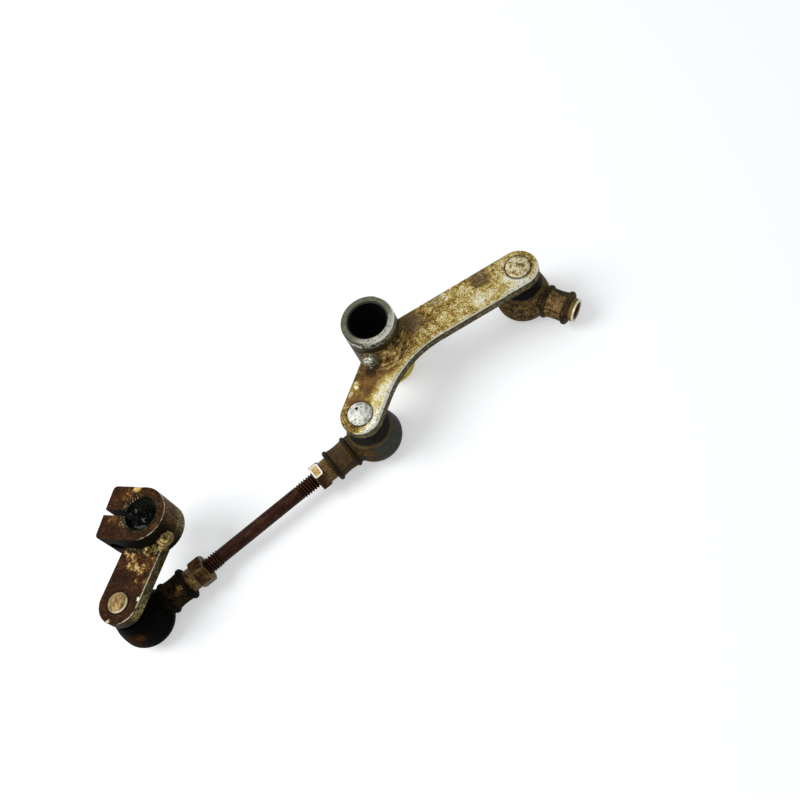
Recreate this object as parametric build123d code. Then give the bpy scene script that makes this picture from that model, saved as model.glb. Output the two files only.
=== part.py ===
from build123d import *
from math import cos, radians, sin, sqrt, tan
import os

# Gear-shift linkage of a motorcycle, as it lies on a bench.
# A bellcrank turns on its welded pivot tube. A short link rod with a ball joint at
# each end runs from the bellcrank's short arm to a clamp lever for the serrated
# shift shaft. The long arm carries a third ball joint, whose shank is open.
# Millimetres, +Z up. Origin: the pivot tube's axis, level with its lower end.
# Joint a: short arm to rod.  Joint b: rod to clamp lever.  Joint c: long arm, free.

# Bellcrank
tube_od = 25.4
tube_bore = 18.1
tube_length = 45.1
tube_outer_chamfer = 0.6
tube_bore_chamfer = 0.8

stud_a_x = -31.7            # short arm's stud, from the tube's axis
stud_c_x = 67.7             # long arm's stud
studs_y = -27.3             # both studs lie this far to the tube's open side
bend_y = -10.6              # where the two arms' centre lines meet, on the tube's Y axis
bar_width = 19.05           # both plates are cut from the same flat bar
bar_thickness = 6.35
inner_bend_radius = 50.0
bellcrank_top_round = 1.4   # worn edge on the visible side
bellcrank_bottom_round = 0.8

# Ball joint, the same at a, b and c
ball_height = 10.5          # ball centre above the bench, boot standing on it
stud_rise = 24.0            # ball centre to the top of the plate
ball_radius = 5.55
stud_neck_radius = 3.0
stud_shoulder_radius = 5.2
stud_shoulder_thickness = 1.0
stud_shank_radius = 4.0
stud_head_radius = 5.65
stud_b_head_radius = 4.7    # the clamp lever's stud has the smaller head
stud_head_edge = 0.35
stud_head_dome = 1.25
seat_thickness = 1.3
seat_clearance = 0.06       # radial, ball to seat and seat to socket
seat_upper_from = 52.0      # polar angles of the seat shells, from the stud's axis
seat_upper_to = 82.0
seat_lower_from = 98.0
socket_radius = 9.6
socket_top = 5.4
socket_bottom = -8.5
socket_edge = 1.0
socket_mouth_radius = 5.0
socket_lip = 0.6            # metal rolled in under the end cap
end_cap_bottom = socket_bottom + socket_lip
end_cap_top = -4.0
shank_radius = 5.6
shank_reach = 29.7          # ball centre to the shank's end at a and b
thread_depth = 16.0
thread_radius = 3.97        # 5/16 in - 18 thread, over the crests
thread_mouth_chamfer = 0.5

# Dust boot
boot_radius = 13.4          # at its widest
boot_widest = -1.8          # height of that, from the ball centre
boot_foot_radius = 8.2      # flat it stands on
boot_foot_bulge = 12.2      # radius of the foot's curve, half-way up
boot_shoulder_radius = 11.6
boot_shoulder = 6.0         # height of the shoulder's radius
boot_lip_top = 15.0
boot_lip_radius = 7.9
boot_mouth_radius = 6.3
boot_wall = 1.9
sleeve_radius = 7.3
sleeve_waist = 0.35         # how much the sleeve draws in between its rings
sleeve_ring_radius = 8.1
sleeve_ring_half_width = 1.0
sleeve_root_ring = 13.9     # ring positions along the shank, from the ball centre
sleeve_end_ring = 24.3
sleeve_past_ring = 1.2      # sleeve end past the second ring

# Link rod and its nuts
ball_spacing = 135.3        # ball a to ball b
rod_heading = 175.4         # direction from a to b, degrees from +X
rod_plain_radius = 3.45     # rolled threads stand proud of it
rod_engagement = 13.6       # thread inside each shank
rod_thread_length = 27.3    # each threaded end
rod_end_chamfer = 0.6
thread_clearance = 0.02     # radial, rod in shank and nut
nut_across_flats = 12.7     # 1/2 in
thin_nut_height = 4.76      # jam nut at a, 3/16 in
full_nut_height = 6.75      # nut at b, 17/64 in
nut_corner_chamfer = 0.85
nut_a_turn = -26.0          # corner nearest to straight up, from the vertical
nut_b_turn = 13.3

# Free ball joint at c
free_heading = -69.5
free_shank_reach = 27.9
free_sleeve_slide = -0.9    # its sleeve is pushed back along the shank

# Clamp lever
lever_heading = 31.8        # stud b to the clamp's axis
lever_droop = 5.5           # the heavy clamp end hangs lower than the stud
lever_lean = -2.8
lever_reach = 37.5
lever_offset = -0.5         # clamp axis to the side of the lever's centre line
lever_edge_round = 0.6
collar_half_width = 12.6
collar_back_shift = 0.8     # round back's centre, from the clamp axis towards the jaws
collar_height = 19.5
collar_jaw_reach = 18.2     # clamp axis to the jaws' ends, at mid width
collar_jaw_skew = 4.0       # the jaws' ends are cut off square by this much
collar_heading = 99.6       # slot direction, from the lever's centre line
collar_slot = 2.7
collar_slot_offset = 0.2
collar_near_corner = 2.0    # jaw corner rounds
collar_far_corner = 2.2
collar_edge_round = 0.4
serration_count = 36
serration_tip_radius = 7.55
serration_root_radius = 8.15
serration_tip_share = 0.5   # share of each pitch left as tooth tip
bore_mouth_chamfer = 0.5
pinch_hole_radius = 3.25
pinch_hole_reach = 13.1     # clamp axis to the pinch bolt's axis
chip_reach = 4.7            # knock on the far top edge
chip_length = 4.6
chip_depth = 0.9

# Welds
tube_weld_out = 5.6         # leg along the plate
tube_weld_up = 2.6          # leg up the tube
tube_weld_bulge = 0.45
tube_weld_from = -142.0     # degrees round the tube
tube_weld_to = -38.0
weld_start_radius = 3.0     # blob where the bead begins
weld_start_reach = 15.6     # blob's distance from the tube's axis
clamp_weld_leg = 1.8
clamp_weld_straight = 10.5  # along the clamp's flat side
clamp_weld_turn = 46.0      # degrees on round its back, up to the blob
clamp_blob_radius = 3.8
clamp_blob_back = 5.6       # blob's centre, behind the clamp's axis
clamp_blob_rise = 3.0       # above the plate
clamp_blob_side = 1.3       # and past the plate's side

# Worked out from the above
tube_radius = tube_od / 2
bar_half = bar_width / 2
plate_top = ball_height + stud_rise
plate_bottom = plate_top - bar_thickness
rise_to_plate = stud_rise - bar_thickness
seat_inner = ball_radius + seat_clearance
seat_outer = seat_inner + seat_thickness
socket_cavity = seat_outer + seat_clearance
boot_foot = -ball_height
boot_hollow_middle = (boot_shoulder_radius - boot_wall + boot_mouth_radius) / 2 + 0.5
collar_bottom = rise_to_plate
collar_top = collar_bottom + collar_height
nut_corner_radius = nut_across_flats / 2 / cos(radians(30))
rod_thread_radius = thread_radius - thread_clearance

rod_dir = Vector(cos(radians(rod_heading)), sin(radians(rod_heading)), 0)
ball_a = Vector(stud_a_x, studs_y, ball_height)
ball_b = ball_a + rod_dir * ball_spacing
ball_c = Vector(stud_c_x, studs_y, ball_height)

# Each frame has its origin at a ball centre. Its X runs along the shank.
frame_a = Location(ball_a) * Rot(0, 0, rod_heading)
frame_b = Location(ball_b) * Rot(0, 0, rod_heading + 180)
frame_c = Location(ball_c) * Rot(0, 0, free_heading)
# The lever's frame: X along the lever, Z along stud b.
frame_lever = Location(ball_b) * Rot(0, 0, lever_heading) * Rot(0, lever_droop, 0) * Rot(lever_lean, 0, 0)
# The collar's frame, inside the lever's: X along the slot, out of the jaws.
frame_collar = Location((lever_reach, lever_offset, 0)) * Rot(0, 0, collar_heading)


def revolved(points, axis=Axis.Z):
    """Turn a closed outline of (radius, height) points about Z, or (along, radius) about X."""
    if axis == Axis.X:
        outline = [(x, 0, r) for x, r in points]
    else:
        outline = [(r, 0, z) for r, z in points]
    return revolve(make_face(Polyline(*outline, close=True)), axis)


def cylinder_between(radius, low, high):
    """A cylinder on the Z axis from low to high."""
    return Location((0, 0, low)) * Cylinder(radius, high - low, align=(Align.CENTER, Align.CENTER, Align.MIN))


def cylinder_along_x(radius, start, end):
    """A cylinder on the X axis from start to end."""
    return Rot(0, 90, 0) * cylinder_between(radius, start, end)


def seat_shell(from_angle, to_angle):
    """Part of a spherical shell round the ball, between two polar angles."""
    def ring_point(radius, angle):
        return (radius * sin(radians(angle)), 0, radius * cos(radians(angle)))

    middle = (from_angle + to_angle) / 2
    outer = ThreePointArc(*[ring_point(seat_outer, a) for a in (from_angle, middle, to_angle)])
    inner = ThreePointArc(*[ring_point(seat_inner, a) for a in (to_angle, middle, from_angle)])
    first = Line(ring_point(seat_inner, from_angle), ring_point(seat_outer, from_angle))
    last = Line(ring_point(seat_outer, to_angle), ring_point(seat_inner, to_angle))
    return revolve(make_face([first, outer, last, inner]), Axis.Z)


def ball_stud(head_radius):
    """Ball, neck, shoulder under the plate, shank through it, and the riveted dome on top."""
    stud = Sphere(ball_radius)
    stud += cylinder_between(stud_neck_radius, 0, rise_to_plate)
    stud += cylinder_between(stud_shoulder_radius, rise_to_plate - stud_shoulder_thickness, rise_to_plate)
    stud += cylinder_between(stud_shank_radius, rise_to_plate, stud_rise)
    edge_top = stud_rise + stud_head_edge
    dome_top = edge_top + stud_head_dome
    dome_radius = (head_radius ** 2 + stud_head_dome ** 2) / (2 * stud_head_dome)
    dome = Location((0, 0, dome_top - dome_radius)) * Sphere(dome_radius)
    stud += cylinder_between(head_radius, stud_rise, dome_top) & dome
    return stud


def socket_envelope(reach):
    """Outside of the steel socket: round head with its shank."""
    head = cylinder_between(socket_radius, socket_bottom, socket_top)
    head = chamfer(head.edges().filter_by(GeomType.CIRCLE), socket_edge)
    return head + cylinder_along_x(shank_radius, 0, reach)


def socket_housing(reach):
    """Socket with a spherical seat bore, open below for the end cap, threaded in its shank."""
    body = socket_envelope(reach)
    body -= Sphere(socket_cavity)
    body -= cylinder_between(socket_cavity, end_cap_bottom, 0)
    body -= cylinder_between(socket_cavity - socket_lip, socket_bottom, 0)
    body -= cylinder_between(socket_mouth_radius, 0, socket_top)
    body -= cylinder_along_x(thread_radius, reach - thread_depth, reach)
    mouth = thread_radius + thread_mouth_chamfer
    body -= revolved(
        [(reach - thread_mouth_chamfer, 0), (reach, 0), (reach, mouth), (reach - thread_mouth_chamfer, thread_radius)],
        Axis.X)
    return body


def end_cap():
    """Dished plug that closes the socket under the lower seat."""
    return cylinder_between(socket_cavity, end_cap_bottom, end_cap_top) - Sphere(socket_cavity)


def dust_boot(reach, slide):
    """One-piece rubber boot: round body with a domed top, and a ringed sleeve on the shank."""
    def point(radius, height):
        return (radius, 0, height)

    foot, widest, lip = boot_foot, boot_widest, boot_lip_top
    foot_middle = point(boot_foot_bulge, (foot + widest) / 2)
    outline = [
        Line(point(0, foot), point(boot_foot_radius, foot)),
        ThreePointArc(point(boot_foot_radius, foot), foot_middle, point(boot_radius, widest)),
        ThreePointArc(point(boot_radius, widest), point(boot_shoulder_radius, boot_shoulder), point(boot_lip_radius, lip)),
        Line(point(boot_lip_radius, lip), point(0, lip)),
        Line(point(0, lip), point(0, foot)),
    ]
    body = revolve(make_face(outline), Axis.Z)

    root_ring = sleeve_root_ring + slide
    end_ring = sleeve_end_ring + slide
    sleeve_end = end_ring + sleeve_past_ring
    root_edge = root_ring + sleeve_ring_half_width
    end_edge = end_ring - sleeve_ring_half_width
    waist = ((root_ring + end_ring) / 2, 0, sleeve_radius - sleeve_waist)
    sleeve = revolve(make_face([
        Line((0, 0, 0), (0, 0, sleeve_radius)),
        Line((0, 0, sleeve_radius), (root_edge, 0, sleeve_radius)),
        ThreePointArc((root_edge, 0, sleeve_radius), waist, (end_edge, 0, sleeve_radius)),
        Line((end_edge, 0, sleeve_radius), (sleeve_end, 0, sleeve_radius)),
        Line((sleeve_end, 0, sleeve_radius), (sleeve_end, 0, 0)),
        Line((sleeve_end, 0, 0), (0, 0, 0)),
    ]), Axis.X)
    for ring in (root_ring, end_ring):
        bead = cylinder_along_x(sleeve_ring_radius, ring - sleeve_ring_half_width, ring + sleeve_ring_half_width)
        sleeve += fillet(bead.edges().filter_by(GeomType.CIRCLE), sleeve_ring_half_width * 0.7)

    hollow = make_face([
        Line(point(0, socket_top), point(boot_shoulder_radius - boot_wall, socket_top)),
        ThreePointArc(point(boot_shoulder_radius - boot_wall, socket_top),
                      point(boot_hollow_middle, (socket_top + lip) / 2), point(boot_mouth_radius, lip)),
        Line(point(boot_mouth_radius, lip), point(0, lip)),
        Line(point(0, lip), point(0, socket_top)),
    ])
    boot = body + sleeve
    boot -= revolve(hollow, Axis.Z)
    boot -= socket_envelope(reach)
    return boot


def hex_nut(height):
    """Nut standing on Z = 0 with its corners chamfered on both sides."""
    nut = extrude(RegularPolygon(nut_corner_radius, 6), height)
    flank = nut_corner_chamfer * tan(radians(30))
    reach = nut_corner_radius + 1
    slope = tan(radians(30))
    middle = height / 2
    low = nut_corner_radius - nut_corner_chamfer
    cone = [(0, 0), (low, 0), (reach, (reach - low) * slope), (reach, height - (reach - low) * slope),
            (low, height), (0, height)]
    if (reach - low) * slope > middle:
        reach = low + middle / slope * 0.98
        cone = [(0, 0), (low, 0), (reach, middle * 0.98), (reach, height - middle * 0.98), (low, height), (0, height)]
    nut &= revolved(cone)
    return nut - cylinder_between(thread_radius, 0, height)


def link_rod():
    """Rod from shank to shank, in joint a's frame: plain middle, thread-size ends."""
    start = shank_reach - rod_engagement
    end = ball_spacing - start
    step = (rod_thread_radius - rod_plain_radius) * 0.9
    ends = cylinder_along_x(rod_thread_radius, start, start + rod_thread_length)
    ends += cylinder_along_x(rod_thread_radius, end - rod_thread_length, end)
    ends = chamfer(ends.edges().filter_by(GeomType.CIRCLE), step)
    return ends + cylinder_along_x(rod_plain_radius, start + rod_end_chamfer, end - rod_end_chamfer)


def bellcrank_plate():
    """Flat bar plate bent like a boomerang in plan, notched for the tube."""
    bend = Vector(0, bend_y)
    arms = Sketch()
    for stud_x in (stud_a_x, stud_c_x):
        stud = Vector(stud_x, studs_y)
        run = stud - bend
        middle = (stud + bend) * 0.5
        angle = run.get_signed_angle(Vector(1, 0), Vector(0, 0, -1))
        arms += Location((middle.X, middle.Y, 0), (0, 0, angle)) * SlotCenterToCenter(run.length, bar_width)
    inner = arms.vertices().filter_by(lambda v: abs(v.X) < bar_half and v.Y < bend_y)
    arms = fillet(inner, inner_bend_radius)
    plate = Location((0, 0, plate_bottom)) * extrude(arms, bar_thickness)
    plate = fillet(plate.faces().sort_by(Axis.Z)[-1].edges(), bellcrank_top_round)
    plate = fillet(plate.faces().sort_by(Axis.Z)[0].edges(), bellcrank_bottom_round)
    plate -= cylinder_between(tube_radius, 0, tube_length)
    for stud_x in (stud_a_x, stud_c_x):
        plate -= Location((stud_x, studs_y, 0)) * cylinder_between(stud_shank_radius, 0, tube_length)
    return plate


def pivot_tube():
    tube = cylinder_between(tube_radius, 0, tube_length)
    tube = chamfer(tube.edges().filter_by(GeomType.CIRCLE), tube_outer_chamfer)
    bore = tube_bore / 2
    tube -= cylinder_between(bore, 0, tube_length)
    mouth = bore + tube_bore_chamfer
    tube -= revolved([(0, tube_length), (mouth, tube_length), (bore, tube_length - tube_bore_chamfer),
                      (0, tube_length - tube_bore_chamfer)])
    return tube


def tube_weld(height, side):
    """Fillet bead round the tube on one face of the plate: side is 1 above, -1 below."""
    toe = (tube_radius + tube_weld_out, 0, height)
    root = (tube_radius, 0, height)
    top = (tube_radius, 0, height + side * tube_weld_up)
    crown = (tube_radius + tube_weld_out / 2 + tube_weld_bulge / 2, 0,
             height + side * (tube_weld_up / 2 + tube_weld_bulge))
    profile = make_face([Line(root, toe), ThreePointArc(toe, crown, top), Line(top, root)])
    bead = revolve(Rot(0, 0, tube_weld_from) * profile, Axis.Z, tube_weld_to - tube_weld_from)
    start = radians(tube_weld_from)
    bead += Location((weld_start_reach * cos(start), weld_start_reach * sin(start), height)) * Sphere(weld_start_radius)
    bead -= cylinder_between(tube_radius, 0, tube_length)
    return bead - bellcrank_plate()


def collar_outline():
    """Clamp in plan, in the collar's frame: round back, straight sides, rounded jaw corners."""
    skew = collar_half_width * tan(radians(collar_jaw_skew))
    round_back = Location((collar_back_shift, 0)) * Circle(collar_half_width)
    jaws = make_face(Polyline(
        (collar_back_shift, -collar_half_width), (collar_jaw_reach - skew, -collar_half_width),
        (collar_jaw_reach + skew, collar_half_width), (collar_back_shift, collar_half_width), close=True))
    outline = round_back + jaws
    far = outline.vertices().sort_by(Axis.X)[-2]
    outline = fillet(far, collar_far_corner)
    near = outline.vertices().sort_by(Axis.X)[-1]
    return fillet(near, collar_near_corner)


def collar_blank():
    """The clamp as a solid block in the lever's frame."""
    block = Location((0, 0, collar_bottom)) * extrude(collar_outline(), collar_height)
    return frame_collar * block


def clamp_collar():
    """Split clamp for a serrated shaft, in the lever's frame."""
    block = extrude(collar_outline(), collar_height)
    block = fillet(block.faces().sort_by(Axis.Z)[-1].edges(), collar_edge_round)

    pitch = 360 / serration_count
    half_tip = radians(pitch * (1 - serration_tip_share) / 2)
    groove = make_face(Polyline(
        ((serration_tip_radius - 0.3) * cos(half_tip), -(serration_tip_radius - 0.3) * sin(half_tip)),
        (serration_tip_radius * cos(half_tip), -serration_tip_radius * sin(half_tip)),
        (serration_root_radius, -0.12),
        (serration_root_radius, 0.12),
        (serration_tip_radius * cos(half_tip), serration_tip_radius * sin(half_tip)),
        ((serration_tip_radius - 0.3) * cos(half_tip), (serration_tip_radius - 0.3) * sin(half_tip)),
        close=True))
    bore = Circle(serration_tip_radius)
    bore += [Rot(0, 0, pitch * n) * groove for n in range(serration_count)]
    block -= extrude(bore, collar_height)
    mouth = serration_tip_radius + bore_mouth_chamfer
    for face_z, inner_z in ((0, bore_mouth_chamfer), (collar_height, collar_height - bore_mouth_chamfer)):
        block -= revolved([(0, face_z), (mouth, face_z), (serration_tip_radius, inner_z), (0, inner_z)])

    slot = Box(collar_jaw_reach * 2, collar_slot, collar_height,
               align=(Align.MIN, Align.CENTER, Align.MIN))
    block -= Location((0, collar_slot_offset, 0)) * slot
    bolt_hole = Rot(90, 0, 0) * Cylinder(pinch_hole_radius, 4 * collar_half_width)
    block -= Location((pinch_hole_reach, 0, collar_height / 2)) * bolt_hole
    chip = Rot(45, 0, 0) * Box(chip_length, chip_depth, chip_depth)
    block -= Location((chip_reach, -collar_half_width, collar_height)) * chip
    return frame_collar * (Location((0, 0, collar_bottom)) * block)


def clamp_plate():
    """Lever plate in its own frame: round end at the stud, cut to the clamp's side."""
    half_run = lever_reach / 2
    outline = Location((half_run, 0)) * SlotCenterToCenter(lever_reach, bar_width)
    plate = Location((0, 0, rise_to_plate)) * extrude(outline, bar_thickness)
    plate = fillet(plate.faces().sort_by(Axis.Z)[-1].edges(), lever_edge_round)
    plate -= cylinder_between(stud_shank_radius, 0, stud_rise + 1)
    plate -= collar_blank()
    return plate.solids().sort_by(SortBy.VOLUME)[-1]


def clamp_weld():
    """Bead along the clamp on top of the lever plate, with the heavy blob at one corner."""
    wall = collar_half_width
    profile = make_face(Polyline(
        (0, wall, 0), (0, wall + clamp_weld_leg, 0), (0, wall, clamp_weld_leg), close=True))
    bead = extrude(profile, clamp_weld_straight, dir=(1, 0, 0))
    bead += revolve(profile, Axis.Z, clamp_weld_turn)
    bead = frame_collar * (Location((collar_back_shift, 0, stud_rise)) * bead)
    bead &= Location((0, 0, stud_rise)) * Box(2 * lever_reach, bar_width, bar_width)
    blob = Vector(lever_reach - clamp_blob_back, -bar_half - clamp_blob_side, stud_rise + clamp_blob_rise)
    bead += Location(blob) * Sphere(clamp_blob_radius)
    bead -= collar_blank()
    return bead - clamp_plate()


def turned_nut(height, turn):
    """Nut laid along the rod, against the shank's end."""
    return Location((shank_reach, 0, 0)) * Rot(0, 90, 0) * Rot(0, 0, turn) * hex_nut(height)


nodes = {
    "bellcrank_plate": bellcrank_plate(),
    "pivot_tube": pivot_tube(),
    "tube_weld_top": tube_weld(plate_top, 1),
    "tube_weld_bottom": tube_weld(plate_bottom, -1),
    "link_rod": frame_a * link_rod(),
    "jam_nut_a": frame_a * turned_nut(thin_nut_height, nut_a_turn),
    "jam_nut_b": frame_b * turned_nut(full_nut_height, nut_b_turn),
    "clamp_lever_plate": frame_lever * clamp_plate(),
    "clamp_collar": frame_lever * clamp_collar(),
    "clamp_weld": frame_lever * clamp_weld(),
}
joints = (
    ("a", frame_a, Location(ball_a), stud_head_radius, shank_reach, 0),
    ("b", frame_b, frame_lever, stud_b_head_radius, shank_reach, 0),
    ("c", frame_c, Location(ball_c), stud_head_radius, free_shank_reach, free_sleeve_slide),
)
for letter, frame, stud_frame, head_radius, reach, slide in joints:
    nodes[f"ball_stud_{letter}"] = stud_frame * ball_stud(head_radius)
    nodes[f"socket_housing_{letter}"] = frame * socket_housing(reach)
    nodes[f"seat_upper_{letter}"] = frame * seat_shell(seat_upper_from, seat_upper_to)
    nodes[f"seat_lower_{letter}"] = frame * seat_shell(seat_lower_from, 180)
    nodes[f"end_cap_{letter}"] = frame * end_cap()
    nodes[f"dust_boot_{letter}"] = frame * dust_boot(reach, slide)

os.makedirs("parts", exist_ok=True)
for name, piece in nodes.items():
    export_step(piece, f"parts/{name}.step")
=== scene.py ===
from math import cos, pi, radians, sin, sqrt

import bpy
from mathutils import Matrix, Vector, noise


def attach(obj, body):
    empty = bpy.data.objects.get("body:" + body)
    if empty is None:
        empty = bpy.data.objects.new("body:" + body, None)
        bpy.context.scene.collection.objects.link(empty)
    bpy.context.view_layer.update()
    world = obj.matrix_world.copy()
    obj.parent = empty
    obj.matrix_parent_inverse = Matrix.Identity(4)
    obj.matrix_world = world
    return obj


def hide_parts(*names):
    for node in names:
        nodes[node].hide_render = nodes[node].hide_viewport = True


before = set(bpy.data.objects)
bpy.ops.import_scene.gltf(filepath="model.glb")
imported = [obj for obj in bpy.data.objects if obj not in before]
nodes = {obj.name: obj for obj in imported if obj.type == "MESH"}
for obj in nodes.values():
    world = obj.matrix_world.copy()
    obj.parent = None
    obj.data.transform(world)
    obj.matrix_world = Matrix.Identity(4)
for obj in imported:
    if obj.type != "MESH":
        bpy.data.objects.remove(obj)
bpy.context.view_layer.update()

# Lengths below are in millimetres. MM turns them into metres.
MM = 0.001

# Places and sizes, most of them the solids' own. X runs along the bellcrank, and Z is up from the
# board, with nought at the tube's foot.
BALL_A = Vector((-31.7, -27.3, 10.5))
BALL_C = Vector((67.7, -27.3, 10.5))
BALL_SPACING = 135.3
ROD_HEADING = radians(175.4)
FREE_HEADING = radians(-69.5)
rod_along = Vector((cos(ROD_HEADING), sin(ROD_HEADING), 0))
free_along = Vector((cos(FREE_HEADING), sin(FREE_HEADING), 0))
BALL_B = BALL_A + BALL_SPACING * rod_along
PLATE_TOP = 34.5
STUD_HEAD_RADIUS = 5.65
STUD_HEAD_TOP = PLATE_TOP + 1.3
STUD_B_HEAD_RADIUS = 4.7
TUBE_RADIUS = 12.7
TUBE_BORE_RADIUS = 9.05
TUBE_TOP = 45.1
SHANK_END = 29.7
FREE_SHANK_END = 27.9
SLEEVE_RINGS = (13.9, 24.3)
FREE_SLEEVE_SLIDE = -0.9
THIN_NUT_MIDDLE = SHANK_END + 2.38
ROD_START = 16.1
ROD_END = BALL_SPACING - ROD_START
ROD_PLAIN_RADIUS = 3.45
THREAD_LENGTH = 27.3
THREAD_RUNOUT = 1.2
THREAD_FADE = 2.0
THREAD_PITCH = 25.4 / 18
THREAD_CREST = 3.95
THREAD_ROOT = 3.1
THREAD_BORE = 3.97
FREE_THREAD_DEPTH = 15.9
LEVER_TOP = 24.0
COLLAR_AXIS_AT = (37.5, -0.5)
COLLAR_BACK = 12.6
COLLAR_BOTTOM = 17.65
COLLAR_TOP = 37.15
SERRATION_TIP = 7.55
SERRATION_ROOT = 8.15
PINCH_HOLE_AT = Vector((13.1, 0, 27.4))
PINCH_HOLE_RADIUS = 3.25
CLAMP_BLOB_AT = Vector((31.9, -10.8, 27.0))
CLAMP_TAIL_AT = Vector((29.6, -9.6, 23.4))
TUBE_BLOB = Vector((-11.2, -11.9, 35.0))
TUBE_BLOB_HEADING = radians(-134) + pi / 2

rod_frame = Matrix.Translation(BALL_A) @ Matrix.Rotation(ROD_HEADING, 4, "Z")
free_frame = Matrix.Translation(BALL_C) @ Matrix.Rotation(FREE_HEADING, 4, "Z")
lever_frame = (Matrix.Translation(BALL_B) @ Matrix.Rotation(radians(31.8), 4, "Z")
               @ Matrix.Rotation(radians(5.5), 4, "Y") @ Matrix.Rotation(radians(-2.8), 4, "X"))
collar_frame = (lever_frame @ Matrix.Translation(Vector((*COLLAR_AXIS_AT, 0)))
                @ Matrix.Rotation(radians(99.6), 4, "Z"))
collar_axis = lever_frame.to_3x3() @ Vector((0, 0, 1))
collar_across = collar_frame.to_3x3() @ Vector((0, 1, 0))
collar_point = lever_frame @ Vector((*COLLAR_AXIS_AT, LEVER_TOP))
collar_top = collar_frame @ Vector((0, 0, COLLAR_TOP))
pinch_hole = collar_frame @ PINCH_HOLE_AT
clamp_blob = lever_frame @ CLAMP_BLOB_AT

# Camera, worked out from the photograph
CAMERA_POINT = Vector((-56.3, -201.9, 372.3))
CAMERA_TURN = Vector((2.47655, -1.01346, -0.09086))
CAMERA_FOCAL = 850 / 800

# The crater in the clamp's weld looks up and out, away from the clamp
crater_side = (CAMERA_POINT - clamp_blob).normalized()


def srgb(red, green, blue):
    """A colour as the eye reads it, 0 to 255, as the linear colour that the shaders take."""
    def linear(part):
        part = part / 255
        return part / 12.92 if part <= 0.04045 else ((part + 0.055) / 1.055) ** 2.4
    return (linear(red), linear(green), linear(blue), 1.0)


def mixed(first, second, share):
    """A linear colour between two, that share of the way to the second, or past it."""
    return tuple(a + (b - a) * share for a, b in zip(first, second))


# Nodes, and the effects that several finishes share

def wire(tree, socket, value):
    """Links a socket to another, or sets it to a plain value."""
    if isinstance(value, bpy.types.NodeSocket):
        tree.links.new(value, socket)
    else:
        socket.default_value = value


def add(tree, kind, settings=None, **sockets):
    """A node of that kind. Sockets are given by name, with _ for a space."""
    node = tree.nodes.new("ShaderNode" + kind)
    for name, value in (settings or {}).items():
        setattr(node, name, value)
    for name, value in sockets.items():
        wire(tree, node.inputs[name.replace("_", " ")], value)
    return node


def calc(tree, operation, first, second=0.0):
    """One sum on two numbers."""
    node = add(tree, "Math", {"operation": operation})
    wire(tree, node.inputs[0], first)
    wire(tree, node.inputs[1], second)
    return node.outputs[0]


def calc_vector(tree, operation, first, second=(0, 0, 0)):
    """One sum on two vectors: gives the node, whose outputs are Vector and Value."""
    node = add(tree, "VectorMath", {"operation": operation})
    wire(tree, node.inputs[0], first)
    wire(tree, node.inputs[1], second)
    return node


def fade(tree, value, low, high, invert=False):
    """0 below low, 1 above high and smooth between, or the other way round."""
    node = add(tree, "MapRange", {"interpolation_type": "SMOOTHSTEP"},
               Value=value, From_Min=low, From_Max=high)
    node.inputs["To Min"].default_value = 1.0 if invert else 0.0
    node.inputs["To Max"].default_value = 0.0 if invert else 1.0
    return node.outputs["Result"]


EFFECTS = {}
ORIGIN = (0.0, 0.0, 0.0)


def effect(name, output="Mask", **inputs):
    """Makes a shared effect: a node group with named inputs and one output. The function that this
    stands above gives the output's value."""
    group = bpy.data.node_groups.new(name, "ShaderNodeTree")
    for title, value in inputs.items():
        kind = "NodeSocketVector" if isinstance(value, tuple) else "NodeSocketFloat"
        socket = group.interface.new_socket(title, in_out="INPUT", socket_type=kind)
        socket.default_value = value
    group.interface.new_socket(output, in_out="OUTPUT", socket_type="NodeSocketFloat")
    given = group.nodes.new("NodeGroupInput").outputs
    asked = group.nodes.new("NodeGroupOutput").inputs[output]
    EFFECTS[name] = group

    def fill(value_of):
        wire(group, asked, value_of(group, given))
        return value_of
    return fill


@effect("blotches", Point=ORIGIN, Size=5.0, Cover=0.5, Softness=0.06, Detail=5.0)
def blotches(group, given):
    """Uneven patches: Size across, Cover from 0 to 1, Softness of their borders."""
    scale = calc(group, "DIVIDE", 1.0, given["Size"])
    cloud = add(group, "TexNoise", Vector=given["Point"], Scale=scale, Detail=given["Detail"], Roughness=0.62)
    level = calc(group, "SUBTRACT", 0.72, calc(group, "MULTIPLY", given["Cover"], 0.44))
    low = calc(group, "SUBTRACT", level, given["Softness"])
    high = calc(group, "ADD", level, given["Softness"])
    return fade(group, cloud.outputs[0], low, high)


@effect("cloud", "Value", Point=ORIGIN, Size=3.0, Amount=1.0)
def cloud(group, given):
    """Soft unevenness about nought: Size of its patches, and Amount that it swings by."""
    scale = calc(group, "DIVIDE", 1.0, given["Size"])
    cloud = add(group, "TexNoise", Vector=given["Point"], Scale=scale, Detail=4.0, Roughness=0.6)
    return calc(group, "MULTIPLY", calc(group, "SUBTRACT", cloud.outputs[0], 0.5), given["Amount"])


@effect("ragged spot", Point=ORIGIN, Centre=ORIGIN, Radius=3.0, Softness=0.5, Ragged=1.0)
def spot(group, given):
    """A round patch about Centre with a ragged border."""
    away = calc_vector(group, "DISTANCE", given["Point"], given["Centre"]).outputs["Value"]
    cloud = add(group, "TexNoise", Vector=given["Point"], Scale=0.55, Detail=5.0, Roughness=0.65)
    bumpy = calc(group, "MULTIPLY", calc(group, "SUBTRACT", cloud.outputs[0], 0.5), given["Ragged"])
    away = calc(group, "ADD", away, calc(group, "MULTIPLY", bumpy, 4.0))
    low = calc(group, "SUBTRACT", given["Radius"], given["Softness"])
    high = calc(group, "ADD", given["Radius"], given["Softness"])
    return fade(group, away, low, high, invert=True)


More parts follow.
